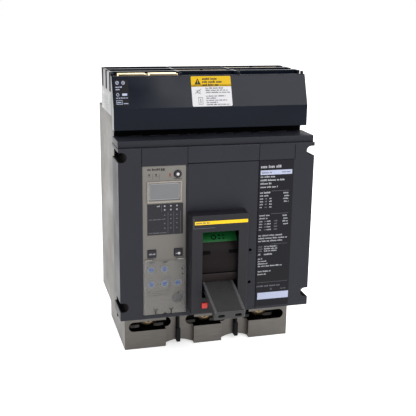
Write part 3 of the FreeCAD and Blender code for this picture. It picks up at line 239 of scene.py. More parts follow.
LOOKS = {
    "case": finish_of("charcoal_case", (0.0096, 0.0102, 0.0150), 0.42, grain_mm=0.45, bump_mm=0.009,
                      shine=0.19),
    "hood": finish_of("charcoal_hood", (0.0032, 0.0048, 0.0098), 0.14, grain_mm=0.6, bump_mm=0.001,
                      shine=0.092, wear=0.3),
    "base": finish_of("moulded_base", (0.046, 0.037, 0.027), 0.40, grain_mm=0.7, bump_mm=0.004, shine=0.36),
    "inner": finish_of("inner_black", (0.006, 0.006, 0.007), 0.5, wear=0.0, shine=0.08),
    # Painted shade: near black laid on faces inside openings, slots and hidden corners in place of their shadow.
    "painted_shade": finish_of("deep_shadow", (0.0022, 0.002, 0.002), 0.6, wear=0.0, shine=0.02),
    "escutcheon": finish_of("escutcheon_plastic", (0.0096, 0.0095, 0.0124), 0.38, bump_mm=0.006,
                            shine=0.18, wear=0.35, wear_lift=0.06),
    "handle": finish_of("handle_plastic", (0.0290, 0.0285, 0.0295), 0.34, grain_mm=0.8, bump_mm=0.004,
                        wear=0.9, wear_lift=0.12, shine=0.16),
    # Painted highlight: a lighter copy of the handle plastic for the handle's raised rims.
    "rim": finish_of("handle_rim_painted_highlight", (0.062, 0.062, 0.066), 0.3, grain_mm=0.8, bump_mm=0.002, wear=0.4),
    "shutter": finish_of("shutter_plastic", (0.0082, 0.0060, 0.0063), 0.45, wear=0.1, shine=0.06),
    # Painted light: a lighter copy of the shutter plastic for the lit face of the lip.
    "lip": finish_of("shutter_lip_painted_light", (0.024, 0.0185, 0.0185), 0.42, wear=0.2, shine=0.12),
    "flag_ink": finish_of("flag_ink", (0.002, 0.010, 0.004), 0.5, wear=0.0, shine=0.05),
    # The trip plate's colour is scaled down towards the bottom, to 0.8 of itself at height 70.
    "trip_face": finish_of("trip_unit_grey", (0.104, 0.096, 0.085), 0.42, mottle=0.05, grain=0.05,
                           wear=0.3, height_ramp=(70, 165, 0.80, 1.0)),
    "trip_case": finish_of("trip_unit_tray", (0.02, 0.02, 0.022), 0.5, wear=0.1, shine=0.2),
    "bezel": finish_of("bezel_cream", (0.225, 0.204, 0.178), 0.32, mottle=0.04, grain=0.04, wear=0.2),
    "film": finish_of("display_film", (0.092, 0.094, 0.098), 0.22, mottle=0.05, grain=0.04, grain_mm=0.28,
                      bump_mm=0.001, wear=0.0),
    "graph": finish_of("graph_film", (0.0090, 0.0082, 0.0115), 0.26, mottle=0.1, bump_mm=0.002, wear=0.0,
                       shine=0.2),
    "key": finish_of("key_rubber", (0.0125, 0.0115, 0.0165), 0.5, bump_mm=0.01, wear=0.15, shine=0.2),
    "white": finish_of("button_white", (0.42, 0.40, 0.41), 0.35, mottle=0.04, grain=0.03, wear=0.0),
    "blue": finish_of("pointer_blue", (0.010, 0.060, 0.22), 0.4, mottle=0.08, wear=0.0),
    "dial": finish_of("dial_grey", (0.125, 0.122, 0.118), 0.4, mottle=0.05, grain=0.06, wear=0.2),
    "plug": finish_of("plug_grey", (0.038, 0.037, 0.037), 0.45, mottle=0.3, grain=0.3, grain_mm=1.4,
                      wear=0.3),
    "red": finish_of("trip_red", (0.46, 0.034, 0.028), 0.38, mottle=0.06, wear=0.3, shine=0.25),
    "maroon": finish_of("figure_maroon", (0.13, 0.022, 0.02), 0.45, mottle=0.08, wear=0.0, shine=0.2),
    "green": finish_of("flag_green", (0.0065, 0.088, 0.020), 0.4, mottle=0.08, wear=0.0, shine=0.2),
    "flag_red": finish_of("flag_red", (0.42, 0.03, 0.025), 0.4, mottle=0.08, wear=0.0, shine=0.2),
    "yellow": finish_of("yellow_print", (0.62, 0.40, 0.006), 0.38, mottle=0.04, grain=0.03, wear=0.0,
                        shine=0.2),
    "amber": finish_of("yellow_label", (0.44, 0.275, 0.003), 0.42, mottle=0.03, grain=0.03, wear=0.0,
                       shine=0.1),
    "paper": finish_of("label_white", (0.41, 0.405, 0.42), 0.42, mottle=0.03, grain=0.03, wear=0.0,
                       shine=0.3),
    "ink": finish_of("dark_print", (0.010, 0.009, 0.010), 0.5, mottle=0.1, wear=0.0, shine=0.15),
    "grey_ink": finish_of("grey_print", (0.075, 0.075, 0.08), 0.5, mottle=0.15, wear=0.0, shine=0.2),
    "pale_ink": finish_of("pale_print", (0.235, 0.24, 0.255), 0.5, mottle=0.15, wear=0.0, shine=0.2),
    "dim_ink": finish_of("dim_print", (0.080, 0.080, 0.092), 0.5, mottle=0.15, wear=0.0, shine=0.2),
    "strip": finish_of("label_strip", (0.28, 0.305, 0.41), 0.4, mottle=0.05, wear=0.0, shine=0.3),
    "label_ground": finish_of("label_ground", (0.0036, 0.0036, 0.0058), 0.4, mottle=0.08, wear=0.0,
                              shine=0.14),
    "black_ground": finish_of("approval_ground", (0.0040, 0.0040, 0.0055), 0.38, mottle=0.08, wear=0.0,
                              shine=0.1),
    "lug": brushed("lug_metal", (0.114, 0.106, 0.098), 0.42, "x"),
    "jaw": brushed("jaw_plating", (0.93, 0.77, 0.50), 0.32, "x"),
    # Painted shade: a darkened copy of the jaw plating, for the jaws of poles 2 and 3.
    "shaded_jaw": brushed("jaw_in_painted_shade", (0.16, 0.13, 0.09), 0.45, "x"),
    "copper": brushed("bare_copper", (0.80, 0.42, 0.24), 0.35, "z"),
    "screw": finish_of("plated_screw", (0.27, 0.20, 0.12), 0.33, mottle=0.3, grain=0.25, bump_mm=0.008,
                       wear=0.5, wear_lift=0.15, Metallic=1.0),
    "steel": finish_of("zinc_steel", (0.40, 0.39, 0.365), 0.38, mottle=0.15, grain=0.1, wear=0.3,
                       wear_lift=0.1, Metallic=1.0),
    "board": finish_of("circuit_board", (0.02, 0.09, 0.035), 0.4, mottle=0.15, grain=0.2, wear=0.0),
    "coil": finish_of("coil_winding", (0.11, 0.045, 0.02), 0.45, grain_mm=0.8, bump_mm=0.03,
                      stretch=(40, 1, 1), wear=0.0),
}


def clear_cover():
    """Clear polycarbonate with a faint grey body, so what lies under it shows through."""
    shader = Shader("clear_cover", Alpha=0.11, IOR=1.5, Coat_Weight=0.2, Coat_Roughness=0.1)
    haze = shader.noise(24, 3.0)
    level = shader.math("MULTIPLY_ADD", haze, 0.14)
    level.node.inputs[2].default_value = 0.93
    # Painted highlight: the clear plastic's edges are drawn light grey all round.
    rim = shader.edges(0.6)
    body = shader.scaled((0.19, 0.186, 0.182), level)
    shader.join(shader.mixed(rim, body, (0.45, 0.45, 0.46, 1.0)), shader.surface.inputs["Base Color"])
    gloss = shader.math("MULTIPLY_ADD", haze, 0.12)
    gloss.node.inputs[2].default_value = 0.16
    shader.join(gloss, shader.surface.inputs["Roughness"])
    shader.bumped(shader.noise(1.4, 2.0), 0.004)
    return shader.material


LOOKS["clear"] = clear_cover()


# ---- making pieces ---------------------------------------------------------------------------

def show(name, bm, look, body, node=None, sharp=50, extra=()):
    """Turn a bmesh into a named piece that rides on a body and may stand for a CAD node."""
    mesh = bpy.data.meshes.new(name)
    bmesh.ops.recalc_face_normals(bm, faces=bm.faces)
    bm.to_mesh(mesh)
    bm.free()
    for each in (look, *extra):
        mesh.materials.append(LOOKS[each])
    mesh.shade_smooth()
    mesh.set_sharp_from_angle(angle=math.radians(sharp))
    piece = bpy.data.objects.new(name, mesh)
    bpy.context.scene.collection.objects.link(piece)
    if node:
        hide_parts(node)
    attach(piece, body)
    return piece


def outer(middle, length):
    """The edge test that takes every edge."""
    return True


def refined(node, look, *rules, change=None, dark=None, second="painted_shade", sharp=50):
    """A node's shape with rounded edges: each rule is a width in mm and a test of which edges take it.

    Faces whose middle passes the test called dark take the second look, by default painted shade standing for the
    shadow inside a deep opening.
    """
    bm = bmesh.new()
    bm.from_mesh(NODES[node].data)
    bmesh.ops.remove_doubles(bm, verts=bm.verts, dist=2e-6)
    bmesh.ops.dissolve_limit(bm, angle_limit=math.radians(0.6), verts=bm.verts, edges=bm.edges)
    if change:
        change(bm)
    for width, test in rules:
        chosen = []
        for edge in bm.edges:
            if len(edge.link_faces) == 2 and edge.calc_face_angle(0.0) > math.radians(28):
                middle = seen((edge.verts[0].co + edge.verts[1].co) / 2)
                if test(middle, edge.calc_length() / MM):
                    chosen.append(edge)
        bmesh.ops.bevel(bm, geom=chosen, offset=width * MM, offset_type="OFFSET", segments=3, profile=0.5,
                        affect="EDGES", clamp_overlap=True)
    if dark:
        for face in bm.faces:
            face.material_index = int(dark(seen(face.calc_center_median())))
    piece = show(node + "_shape", bm, look, BODY_OF[node], node, sharp, (second,) if dark else ())
    weighted = piece.modifiers.new("weighted", "WEIGHTED_NORMAL")
    weighted.keep_sharp = True
    return piece


def kept(node, look):
    """A CAD node shown just as it is, its edges eased only in the shading."""
    thing = NODES[node]
    thing.data.materials.clear()
    thing.data.materials.append(LOOKS[look])
    return thing


def softened(node, look, width=0.3):
    """A CAD node kept as it is, with its edges eased by modifiers."""
    thing = NODES[node]
    thing.data.materials.clear()
    thing.data.materials.append(LOOKS[look])
    weld = thing.modifiers.new("weld", "WELD")
    weld.merge_threshold = 2e-6
    flat = thing.modifiers.new("flat", "DECIMATE")
    flat.decimate_type = "DISSOLVE"
    flat.angle_limit = math.radians(0.6)
    bevel = thing.modifiers.new("bevel", "BEVEL")
    bevel.width = width * MM
    bevel.segments = 2
    bevel.limit_method = "ANGLE"
    bevel.angle_limit = math.radians(30)
    return thing


def skin(bm, loops, closed=True, caps=(False, False)):
    """Faces between successive loops of points, with an end closed where caps says so."""
    rows = [[bm.verts.new(point) for point in loop] for loop in loops]
    for near, far in zip(rows, rows[1:]):
        count = len(near)
        for step in range(count if closed else count - 1):
            after = (step + 1) % count
            bm.faces.new((near[step], near[after], far[after], far[step]))
    for cap, row in zip(caps, (rows[0], rows[-1])):
        if cap:
            bm.faces.new(row)
    return rows


def rounded_rectangle(x, height, radius, steps=4):
    """Corner-rounded rectangle as (x, height) points, anticlockwise seen from the front."""
    points = []
    left, right = x[0] + radius, x[1] - radius
    low, high = height[0] + radius, height[1] - radius
    for quarter, (cx, ch) in enumerate(((right, high), (left, high), (left, low), (right, low))):
        for step in range(steps + 1):
            angle = math.radians(90 * (quarter + step / steps))
            points.append((cx + radius * math.cos(angle), ch + radius * math.sin(angle)))
    return points


def frame_loops(x, height, steps):
    """Loops round a window: each step is a margin, a depth and a corner radius."""
    return [[at(u, depth, v) for u, v in
             rounded_rectangle((x[0] - margin, x[1] + margin), (height[0] - margin, height[1] + margin),
                               radius)]
            for margin, depth, radius in steps]


def hexagonal(radius, angle):
    """Reach of a hexagon with flats at radius, at an angle."""
    return radius / math.cos((angle + math.pi / 6) % (math.pi / 3) - math.pi / 6)


def knurled(radius, angle):
    return radius * (1 + 0.03 * math.cos(26 * angle))


def plain(radius, angle):
    return radius


def turned(bm, x, height, rings, sides=72):
    """A round part facing forward; each ring is a depth, a radius and optionally a reach rule."""
    loops = []
    for ring in rings:
        depth, radius, reach = ring if len(ring) == 3 else (*ring, plain)
        loops.append([at(x + reach(radius, angle) * math.cos(angle), depth,
                         height + reach(radius, angle) * math.sin(angle))
                      for angle in (math.tau * step / sides for step in range(sides))])
    skin(bm, loops, caps=(True, True))


class Print:
    """Marks of one colour lying on a surface, a hair proud of it."""

    def __init__(self, place, lift=0.05):
        self.place = place
        self.lift = lift
        self.bm = bmesh.new()

    def polygon(self, points):
        low = [self.bm.verts.new(self.place(u, v, 0.0)) for u, v in points]
        high = [self.bm.verts.new(self.place(u, v, self.lift)) for u, v in points]
        self.bm.faces.new(high)
        for step in range(len(points)):
            after = (step + 1) % len(points)
            self.bm.faces.new((low[step], low[after], high[after], high[step]))

    def bar(self, left, low, right, high):
        self.polygon([(left, low), (right, low), (right, high), (left, high)])

    def rounded(self, left, low, right, high, radius):
        self.polygon(rounded_rectangle((left, right), (low, high), radius))

    def disc(self, u, v, radius, sides=20):
        self.polygon([(u + radius * math.cos(math.tau * step / sides),
                       v + radius * math.sin(math.tau * step / sides)) for step in range(sides)])

    def arc(self, u, v, inner, outer, start=0.0, end=360.0, sides=24):
        for step in range(sides):
            a, b = (math.radians(start + (end - start) * (step + more) / sides) for more in (0, 1))
            self.polygon([(u + inner * math.cos(a), v + inner * math.sin(a)),
                          (u + outer * math.cos(a), v + outer * math.sin(a)),
                          (u + outer * math.cos(b), v + outer * math.sin(b)),
                          (u + inner * math.cos(b), v + inner * math.sin(b))])

    def line(self, start, end, width):
        along = Vector((end[0] - start[0], end[1] - start[1])).normalized() * width / 2
        across = Vector((-along.y, along.x))
        self.polygon([(start[0] - across.x, start[1] - across.y), (end[0] - across.x, end[1] - across.y),
                      (end[0] + across.x, end[1] + across.y), (start[0] + across.x, start[1] + across.y)])

    def outline(self, left, low, right, high, width):
        self.bar(left, low, right, low + width)
        self.bar(left, high - width, right, high)
        self.bar(left, low + width, left + width, high - width)
        self.bar(right - width, low + width, right, high - width)

    def row(self, left, right, low, size, seed):
        """A line of print reduced to short blocks of uneven width and height."""
        chance = random.Random(seed)
        u = left
        while u < right:
            for _ in range(chance.randint(3, 9)):
                wide = size * chance.uniform(0.22, 0.6)
                if u + wide > right:
                    return
                top = size if chance.random() < 0.3 else size * 0.74
                self.bar(u, low, u + wide, low + top)
                u += wide + size * 0.14
            u += size * 0.5

    def done(self, name, look, body="case", node=None):
        return show(name, self.bm, look, body, node)


def facing(depth):
    """The flat surface at a depth, facing forward."""
    return lambda u, v, out: at(u, depth - out, v)


# ---- case ------------------------------------------------------------------------------------

def case():
    """Cover, base, vent bar and the line end, in charcoal mouldings."""
    half = span("front_cover")[0][1]
    top = span("front_cover")[2][1]
    notch_inner = 93
    channel_reach = 5.4
    base_front = 38.6

    def rim(middle, length):
        x, depth, height = middle
        return depth < 30 and (abs(x) > half - 0.05 or height < 0.05 or height > top - 0.05) and length > 2

    def notch(middle, length):
        x, depth, _ = middle
        return depth < 0.05 and notch_inner < abs(x) < half - 0.1

    def fine(middle, length):
        x, depth, height = middle
        return depth < 0.05 and abs(x) < notch_inner and 0.5 < height < top - 0.6

    # Faces inside the screw channels behind the notches take painted shade.
    def channel(middle):
        x, depth, height = middle
        away = min(abs(height - centre) for centre in NOTCH_HEIGHTS)
        return depth > 5 and 95 < abs(x) < 104.4 and away < channel_reach

    refined("front_cover", "case", (0.7, rim), (0.35, notch), (0.12, fine), dark=channel)
    refined("accessory_cover", "case", (0.22, lambda middle, length: middle[1] < 0.05))
    refined("arc_vent_bar", "case", (0.45, lambda middle, length: length > 4))
    refined("line_end_hood", "hood", (0.6, lambda middle, length: length > 2), sharp=12)
    refined("line_end_housing", "hood", (0.35, lambda middle, length: middle[2] > 230 and length > 2))
    # The base's faces in front of base_front, hidden under the cover, take painted shade.
    refined("base_case", "base", (0.8, lambda middle, length: abs(middle[0]) > 102.9 and length > 8),
            dark=lambda middle: middle[1] < base_front)
    softened("mounting_straps", "steel", 0.4)
    softened("case_screws", "steel", 0.3)
    softened("phase_separators", "inner", 0.4)


def mechanism_and_copper():
    """What lies inside the case or shows through its openings."""
    for node, look, width in (("circuit_board", "board", 0.1), ("trip_actuator", "steel", 0.3),
                              ("trip_unit_case", "trip_case", 0.3), ("settings_cover_pin", "steel", 0.1),
                              ("handle_yoke", "steel", 0.3), ("mechanism_springs", "steel", 0.2),
                              ("mechanism_frame", "steel", 0.3), ("handle_pivots", "steel", 0.3),
                              ("cradle", "steel", 0.3), ("trip_bar", "inner", 0.3),
                              ("crossbar", "inner", 0.5), ("arc_chutes", "steel", 0.2),
                              ("load_straps", "copper", 0.5),
                              ("flexible_connectors", "copper", 0.5), ("current_transformers", "coil", 0.8),
                              ("pressure_bars", "inner", 0.4)):
        softened(node, look, width)
    for pole in (1, 2, 3):
        softened(f"contact_arm_{pole}", "copper", 0.6)
        softened(f"line_terminal_{pole}", "copper", 0.5)
        # Poles 2 and 3 take the darkened jaw look, which is painted shade.
        jaw_finish_or_shade = "jaw" if pole == 1 else "shaded_jaw"
        refined(f"line_jaw_{pole}", jaw_finish_or_shade, (0.25, lambda middle, length: length > 3))


# ---- handle block ----------------------------------------------------------------------------

def handle_block():
    """Raised block round the handle, its header and the yellow stripe."""
    (left, right), (front, _), (low, high) = span("handle_escutcheon")

    def mouth(middle, length):
        x, depth, height = middle
        return depth < front + 0.1 and left + 4 < x < right - 4 and low + 4 < height < high - 4

    refined("handle_escutcheon", "escutcheon", (0.45, mouth))
    # Painted highlight: pale lines along the header's lower edge and left end stand for the lit edge of its step.
    header = Print(facing(front), 0.03)
    header.bar(left + 2.4, high - 14.4, left + 25, high - 14.0)
    header.bar(left + 2.4, high - 14.0, left + 2.8, high - 3.4)
    header.done("header_step_painted_highlight", "dim_ink")
    stripe = span("yellow_band")
    refined("yellow_band", "yellow", (0.1, outer))
    marks = Print(facing(stripe[1][0]), 0.04)
    marks.row(stripe[0][0] + 1.2, stripe[0][0] + 17, stripe[2][0] + 1.1, 1.7, 5)
    marks.done("stripe_marks", "grey_ink")


def dish(bm):
    """Sink the two broad faces of the handle between raised rims."""
    for face in sorted(bm.faces, key=lambda each: each.calc_area())[-2:]:
        bmesh.ops.inset_region(bm, faces=[face], thickness=0.9 * MM, depth=0.0, use_even_offset=True)
        bmesh.ops.inset_region(bm, faces=[face], thickness=0.7 * MM, depth=-0.7 * MM, use_even_offset=True)


def drum_patch(name, look, x, start, end, reach):
    """A strip of the shutter's curved face between two angles above the horizontal."""
    bm = bmesh.new()
    loops = []
    for step in range(25):
        angle = math.radians(start + (end - start) * step / 24)
        ring = []
        for u, radius in ((x[0], reach - 0.3), (x[0], reach), (x[1], reach), (x[1], reach - 0.3)):
            ring.append(at(u, PIVOT[0] - radius * math.cos(angle), PIVOT[1] + radius * math.sin(angle)))
        loops.append(ring)
    skin(bm, loops, caps=(True, True))
    return show(name, bm, look, "handle", sharp=30)


def handle():
    """Paddle, curved shutter with its flags, and the red push-to-trip button."""
    middle_x = sum(span("handle")[0]) / 2

    # Faces of the handle's raised rims take the lighter rim look, a painted highlight along them.
    def rim(middle):
        x, depth, height = middle
        level = (height - PIVOT[1]) * math.cos(HANDLE_LEAN) - (depth - PIVOT[0]) * math.sin(HANDLE_LEAN)
        return level > -8.8 and abs(x - middle_x) > 14.2

    refined("handle", "handle", (0.2, lambda middle, length: middle[1] < -40 and length < 12), change=dish,
            dark=rim, second="rim")
    refined("indicator_shutter", "shutter", (0.2, lambda middle, length: length > 20))
    left, right = span("indicator_shutter")[0]
    wide = (left + 0.3, right - 0.3)
    drum_patch("flag_off", "green", wide, 34.8, 76, DRUM + 0.12)
    drum_patch("flag_on", "flag_red", wide, -100, -80, DRUM + 0.12)
    # Painted shade: the shutter's two slots and the groove under its lip are drawn as dark patches.
    for side, (low, high) in (("left", (left + 1, -10.5)), ("right", (9.7, right - 0.6))):
        drum_patch("shutter_slot_" + side, "painted_shade", (low, high), 16.2, 21.8, DRUM + 0.08)
    drum_patch("shutter_groove", "painted_shade", wide, -14.4, -12.6, DRUM + 0.07)
    # The lip is drawn lighter than the shutter, painted light on its lit step face.
    drum_patch("shutter_lip", "lip", wide, -29.6, -14.6, DRUM + 0.5)
    ring = Print(lambda u, v, out: at(u, PIVOT[0] - (DRUM + 0.12 + out) * math.cos(v / DRUM),
                                      PIVOT[1] + (DRUM + 0.12 + out) * math.sin(v / DRUM)))
    middle = math.radians(42.5) * DRUM
    ring.arc(-5.0, middle, 1.8, 3.0, sides=32)
    for u in (-0.2, 4.2):
        ring.rounded(u, middle - 2.6, u + 2.6, middle + 2.6, 0.7)
    ring.done("flag_symbol", "flag_ink", "handle")
    refined("push_to_trip_button", "red", (0.5, lambda middle, length: middle[1] < -17))


# ---- trip unit -------------------------------------------------------------------------------

def display():
    """Sloped bezel round the display, the display itself, its faint segments and a painted shadow along its foot.
    """
    (left, right), (front, _), (low, high) = span("display_window")
    bm = bmesh.new()
    profile = [(2.1, 1.0, 0.9), (2.0, -0.1, 0.9), (1.75, -0.38, 0.8), (1.35, -0.38, 0.6), (0.15, 1.1, 0.25),
               (0.02, 1.38, 0.2)]
    skin(bm, frame_loops((left, right), (low, high), profile))
    show("display_frame", bm, "bezel", "case", "display_bezel", sharp=35)
    softened("display_window", "film", 0.15)
    rim = Print(facing(front), 0.02)
    rim.outline(left + 0.5, low + 0.9, right - 0.5, high - 0.5, 0.5)
    rim.done("display_rim", "pale_ink")
    # Painted shadow: a grey bar along the window's foot, where the recess shades it.
    shade = Print(facing(front), 0.02)
    shade.bar(left + 0.1, low + 0.1, right - 0.1, low + 0.8)
    shade.done("display_painted_shadow", "grey_ink")


def bar_graph():
    """Film with three columns of load marks."""
    (left, _), (front, _), (low, high) = span("bargraph_window")
    softened("bargraph_window", "graph", 0.1)
    bright = Print(facing(front), 0.02)
    dim = Print(facing(front), 0.02)
    bright.row(left + 10, left + 13.4, high - 3.0, 1.5, 11)
    for x in (left + 18.1, left + 24.6, left + 31):
        for drop in (2.4, 6.4):
            bright.rounded(x - 0.8, high - drop - 0.8, x + 0.8, high - drop + 0.8, 0.4)
        for drop in (12, 16.1, 20.9, 26):
            dim.rounded(x - 0.7, high - drop - 0.6, x + 0.7, high - drop + 0.6, 0.3)
    dim.bar(left + 14.7, high - 8.4, left + 15.0, high - 0.6)
    for x in (left + 21.6, left + 27.7, left + 34.8):
        dim.bar(x - 0.15, low + 0.8, x + 0.15, high - 8.4)
    dim.row(left + 1.2, left + 18, high - 16.9, 1.1, 12)
    dim.row(left + 1.2, left + 20, low + 1.6, 1.3, 13)
    bright.done("graph_bright_marks", "pale_ink")
    dim.done("graph_dim_marks", "dim_ink")


def keys():
    """Rubber keys, the ringed reset button and the rating plug."""
    for node in ("menu_key", "arrow_key"):
        refined(node, "key", (0.2, lambda middle, length: middle[1] < 0 and length > 3))
    (left, right), (front, _), (low, high) = span("arrow_key")
    x, height = (left + right) / 2, (low + high) / 2
    arrow = Print(facing(front), 0.05)
    arrow.disc(x + 0.5, height - 0.7, 1.35)
    arrow.done("arrow_mark", "white", "arrow_key")
    tail = Print(facing(front), 0.04)
    tail.bar(x - 3.0, height - 1.1, x - 0.5, height - 0.3)
    tail.done("arrow_tail", "pale_ink", "arrow_key")
    (left, right), (front, _), (low, high) = span("menu_key")
    lines = Print(facing(front), 0.05)
    lines.row(left + 1.1, right - 1.0, (low + high) / 2 - 0.7, 1.6, 14)
    lines.done("menu_mark", "pale_ink", "menu_key")
    (left, right), (front, back), (low, high) = span("reset_button")
    x, height, radius = (left + right) / 2, (low + high) / 2, (right - left) / 2
    bm = bmesh.new()
    turned(bm, x, height, [(front + 0.9, 1.8), (front + 0.1, 2.0), (front, 2.3), (front, radius - 0.5),
                           (front + 0.35, radius), (2.4, radius), (2.4, 2.0), (back, 2.0)])
    show("reset_ring", bm, "key", "reset_button", "reset_button")
    bm = bmesh.new()
    turned(bm, x, height, [(front + 0.05, 0.3), (front + 0.1, 0.9), (front + 0.3, 1.5), (front + 0.7, 1.75),
                           (front + 1.0, 1.75)])
    show("reset_cap", bm, "white", "reset_button")
    (left, right), (front, back), (low, high) = span("rating_plug")
    x, height, radius = (left + right) / 2, (low + high) / 2, (right - left) / 2
    bm = bmesh.new()
    turned(bm, x, height, [(front + 1.9, 1.0), (front + 1.9, 3.3, knurled), (front + 0.2, 3.6, knurled),
                           (front, 3.9), (front, radius - 0.4), (front + 0.4, radius), (back, radius)],
           sides=KNURL_SIDES)
    show("rating_plug_body", bm, "plug", "case", "rating_plug")
    hatch = Print(facing(front + 1.85), 0.25)
    for step in range(-3, 4):
        reach = math.sqrt(3.1 ** 2 - (0.85 * step) ** 2)
        hatch.line((x + 0.85 * step, height - reach), (x + 0.85 * step, height + reach), 0.35)
        hatch.line((x - reach, height + 0.85 * step), (x + reach, height + 0.85 * step), 0.3)
    hatch.done("rating_plug_grille", "grey_ink")


def dials():
    """Setting dials: a knurled rim, a blue pointer with its slot, and a printed scale round each."""
    scale = Print(facing(TRIP_FACE), 0.03)
    turns = {joint["child"]: joint for joint in frame["joints"]}
    for number in range(1, 6):
        node = f"dial_{number}"
        (left, right), (front, back), (low, high) = span(node)
        x, height, radius = (left + right) / 2, (low + high) / 2, (right - left) / 2
        bm = bmesh.new()
        turned(bm, x, height, [(front + 0.25, 2.2), (front + 0.15, 3.0), (front, 3.4), (front, radius - 0.35),
                               (front + 0.3, radius, knurled), (3.6, radius - 0.05), (3.6, 2.0),
                               (back, 2.0)], sides=KNURL_SIDES)
        show(f"dial_rim_{number}", bm, "dial", node, node)
        start = turns[node]["range_deg"][0]
        heading = math.radians(DIAL_ZERO + start)
        pointer = Print(pointer_place(x, height, front + 0.3, heading), POINTER_RISE)
        blade = [(2.5 * math.cos(angle), 2.5 * math.sin(angle))
                 for angle in (math.radians(40 + 280 * step / 24) for step in range(25))]
        pointer.polygon([(3.5, 0.0)] + blade)
        pointer.done(f"dial_pointer_{number}", "blue", node)
        # Painted shade: the pointer's slot is drawn as a dark ink bar on its face.
        slot = Print(pointer_place(x, height, front + 0.3 - POINTER_RISE, heading), 0.03)
        slot.bar(-2.0, -0.28, 2.6, 0.28)
        slot.done(f"dial_slot_painted_shade_{number}", "ink", node)
        for step in range(9):
            angle = math.radians(-30 + 30 * step)
            scale.line((x + 5.0 * math.cos(angle), height + 5.0 * math.sin(angle)),
                       (x + 5.9 * math.cos(angle), height + 5.9 * math.sin(angle)), 0.22)
        scale.row(x - 3.6, x + 3.6, height + 6.5, 1.0, 20 + number)
    scale.done("dial_scales", "grey_ink")


def pointer_place(x, height, depth, heading):
    """The face of a dial's pointer, with u along the pointer."""
    return lambda u, v, out: at(x + u * math.cos(heading) - v * math.sin(heading), depth - out,
                                height + u * math.sin(heading) + v * math.cos(heading))


def trip_unit_print():
    """Plate of the trip unit with its lamps and small print."""
    kept("trip_unit_face", "trip_face")
    (left, right), _, (_, high) = span("trip_unit_face")
    face = Print(facing(TRIP_FACE), 0.03)
    face.row(left + 5.2, left + 18.2, high - 4.6, 2.2, 31)
    face.row(left + 19.2, left + 25.6, high - 5.2, 2.6, 32)
    for x in (left + 7, left + 14.2):
        face.disc(x, high - 9, 0.9)
    for x in (left + 10.7, left + 17.8):
        face.bar(x - 0.1, high - 14.2, x + 0.1, high - 8.2)
    face.row(left + 32.5, left + 41, high - 14.4, 1.0, 34)
    face.row(left + 10.5, left + 18.5, high - 17.2, 1.0, 35)
    for step in range(3):
        face.row(left + 4.5, right - 18, 29.6 - 2.2 * step, 0.9, 40 + step)
    face.outline(-64.4, 31.4, -51.0, 46.6, 0.2)
    face.done("trip_face_print", "ink")
    patch = Print(facing(TRIP_FACE), 0.015)
    patch.rounded(-53.8, 32.4, -51.2, 46.2, 0.4)
    patch.rounded(-59.5, 44.2, -53.9, 46.2, 0.4)
    for x in (left + 6.8, left + 14.7):
        patch.row(x - 1.3, x + 1.6, high - 11.4, 1.3, 33)
    patch.row(left + 27.5, left + 40.5, high - 17.0, 0.8, 36)
    patch.done("dial_patch", "grey_ink")
    figure = Print(facing(TRIP_FACE), 0.04)
    figure.row(left + 27.8, left + 30, high - 10.8, 3.6, 37)
    figure.bar(left + 27.5, high - 12.2, left + 30.5, high - 11.6)
    figure.done("trip_figure", "maroon")


def settings_flap():
    """Clear flap with moulded steps, sealing slots and a finger notch drawn in dark ink as painted shade, printed
    lines and painted shadows of the hinge knuckles.
    """
    refined("settings_cover", "clear", (0.25, lambda middle, length: length > 4))
    (left, right), (front, _), (low, high) = span("settings_cover")
    steps = Print(facing(front), 0.25)
    for height in (9.8, 18.8):
        steps.rounded(left + 0.6, height, -51.5, height + 0.5, 0.2)
    steps.rounded(left + 0.5, low + 0.3, left + 1.2, 62.5, 0.3)
    steps.rounded(right - 1.2, low + 0.3, right - 0.5, 62.5, 0.3)
    steps.done("flap_ribs", "clear", "settings_cover")
    marks = Print(facing(front), 0.05)
    for x in (-67.6, -50.8):
        marks.line((x, low + 0.2), (x, low + 4.4), 1.2)
        marks.line((x, low + 4.2), (x - 2.1, low + 6.8), 1.1)
        marks.line((x, low + 4.2), (x + 2.1, low + 6.8), 1.1)
    # The finger notch, and next the sealing slot at the top, are drawn as dark ink marks, painted shade of the
    # recesses.
    marks.polygon([(-57.5 + 2.4 * math.cos(math.pi * step / 12),
                    low + 0.1 + 1.5 * math.sin(math.pi * step / 12)) for step in range(13)])
    marks.rounded(-59.6, high - 3.6, -55.0, high - 2.5, 0.4)
    marks.disc(-43.2, 28.6, 0.9)
    marks.disc(-39.2, 54.5, 0.9)
    marks.disc(-38.7, 49.0, 0.8)
    marks.done("flap_marks", "ink", "settings_cover")
    # Painted shadows: grey marks below the hinge knuckles.
    faint = Print(facing(front), 0.04)
    for x in (-70.5, -44.5):
        faint.rounded(x - 3, high - 3.5, x + 3, high - 2.6, 0.4)
    faint.done("flap_knuckle_painted_shadows", "grey_ink", "settings_cover")


# ---- labels ----------------------------------------------------------------------------------

def hood_face():
    """The slanted face of the hood, with v as height."""
    (_, _), (near, far), (low, high) = span("caution_label")
    lean = (far - near - 0.25) / (high - low)
    out_of = Vector((-1.0, lean)).normalized()

    def place(u, v, out):
        return at(u, near + 0.25 + (v - low) * lean + out_of.x * out, v + out_of.y * out)

    return place


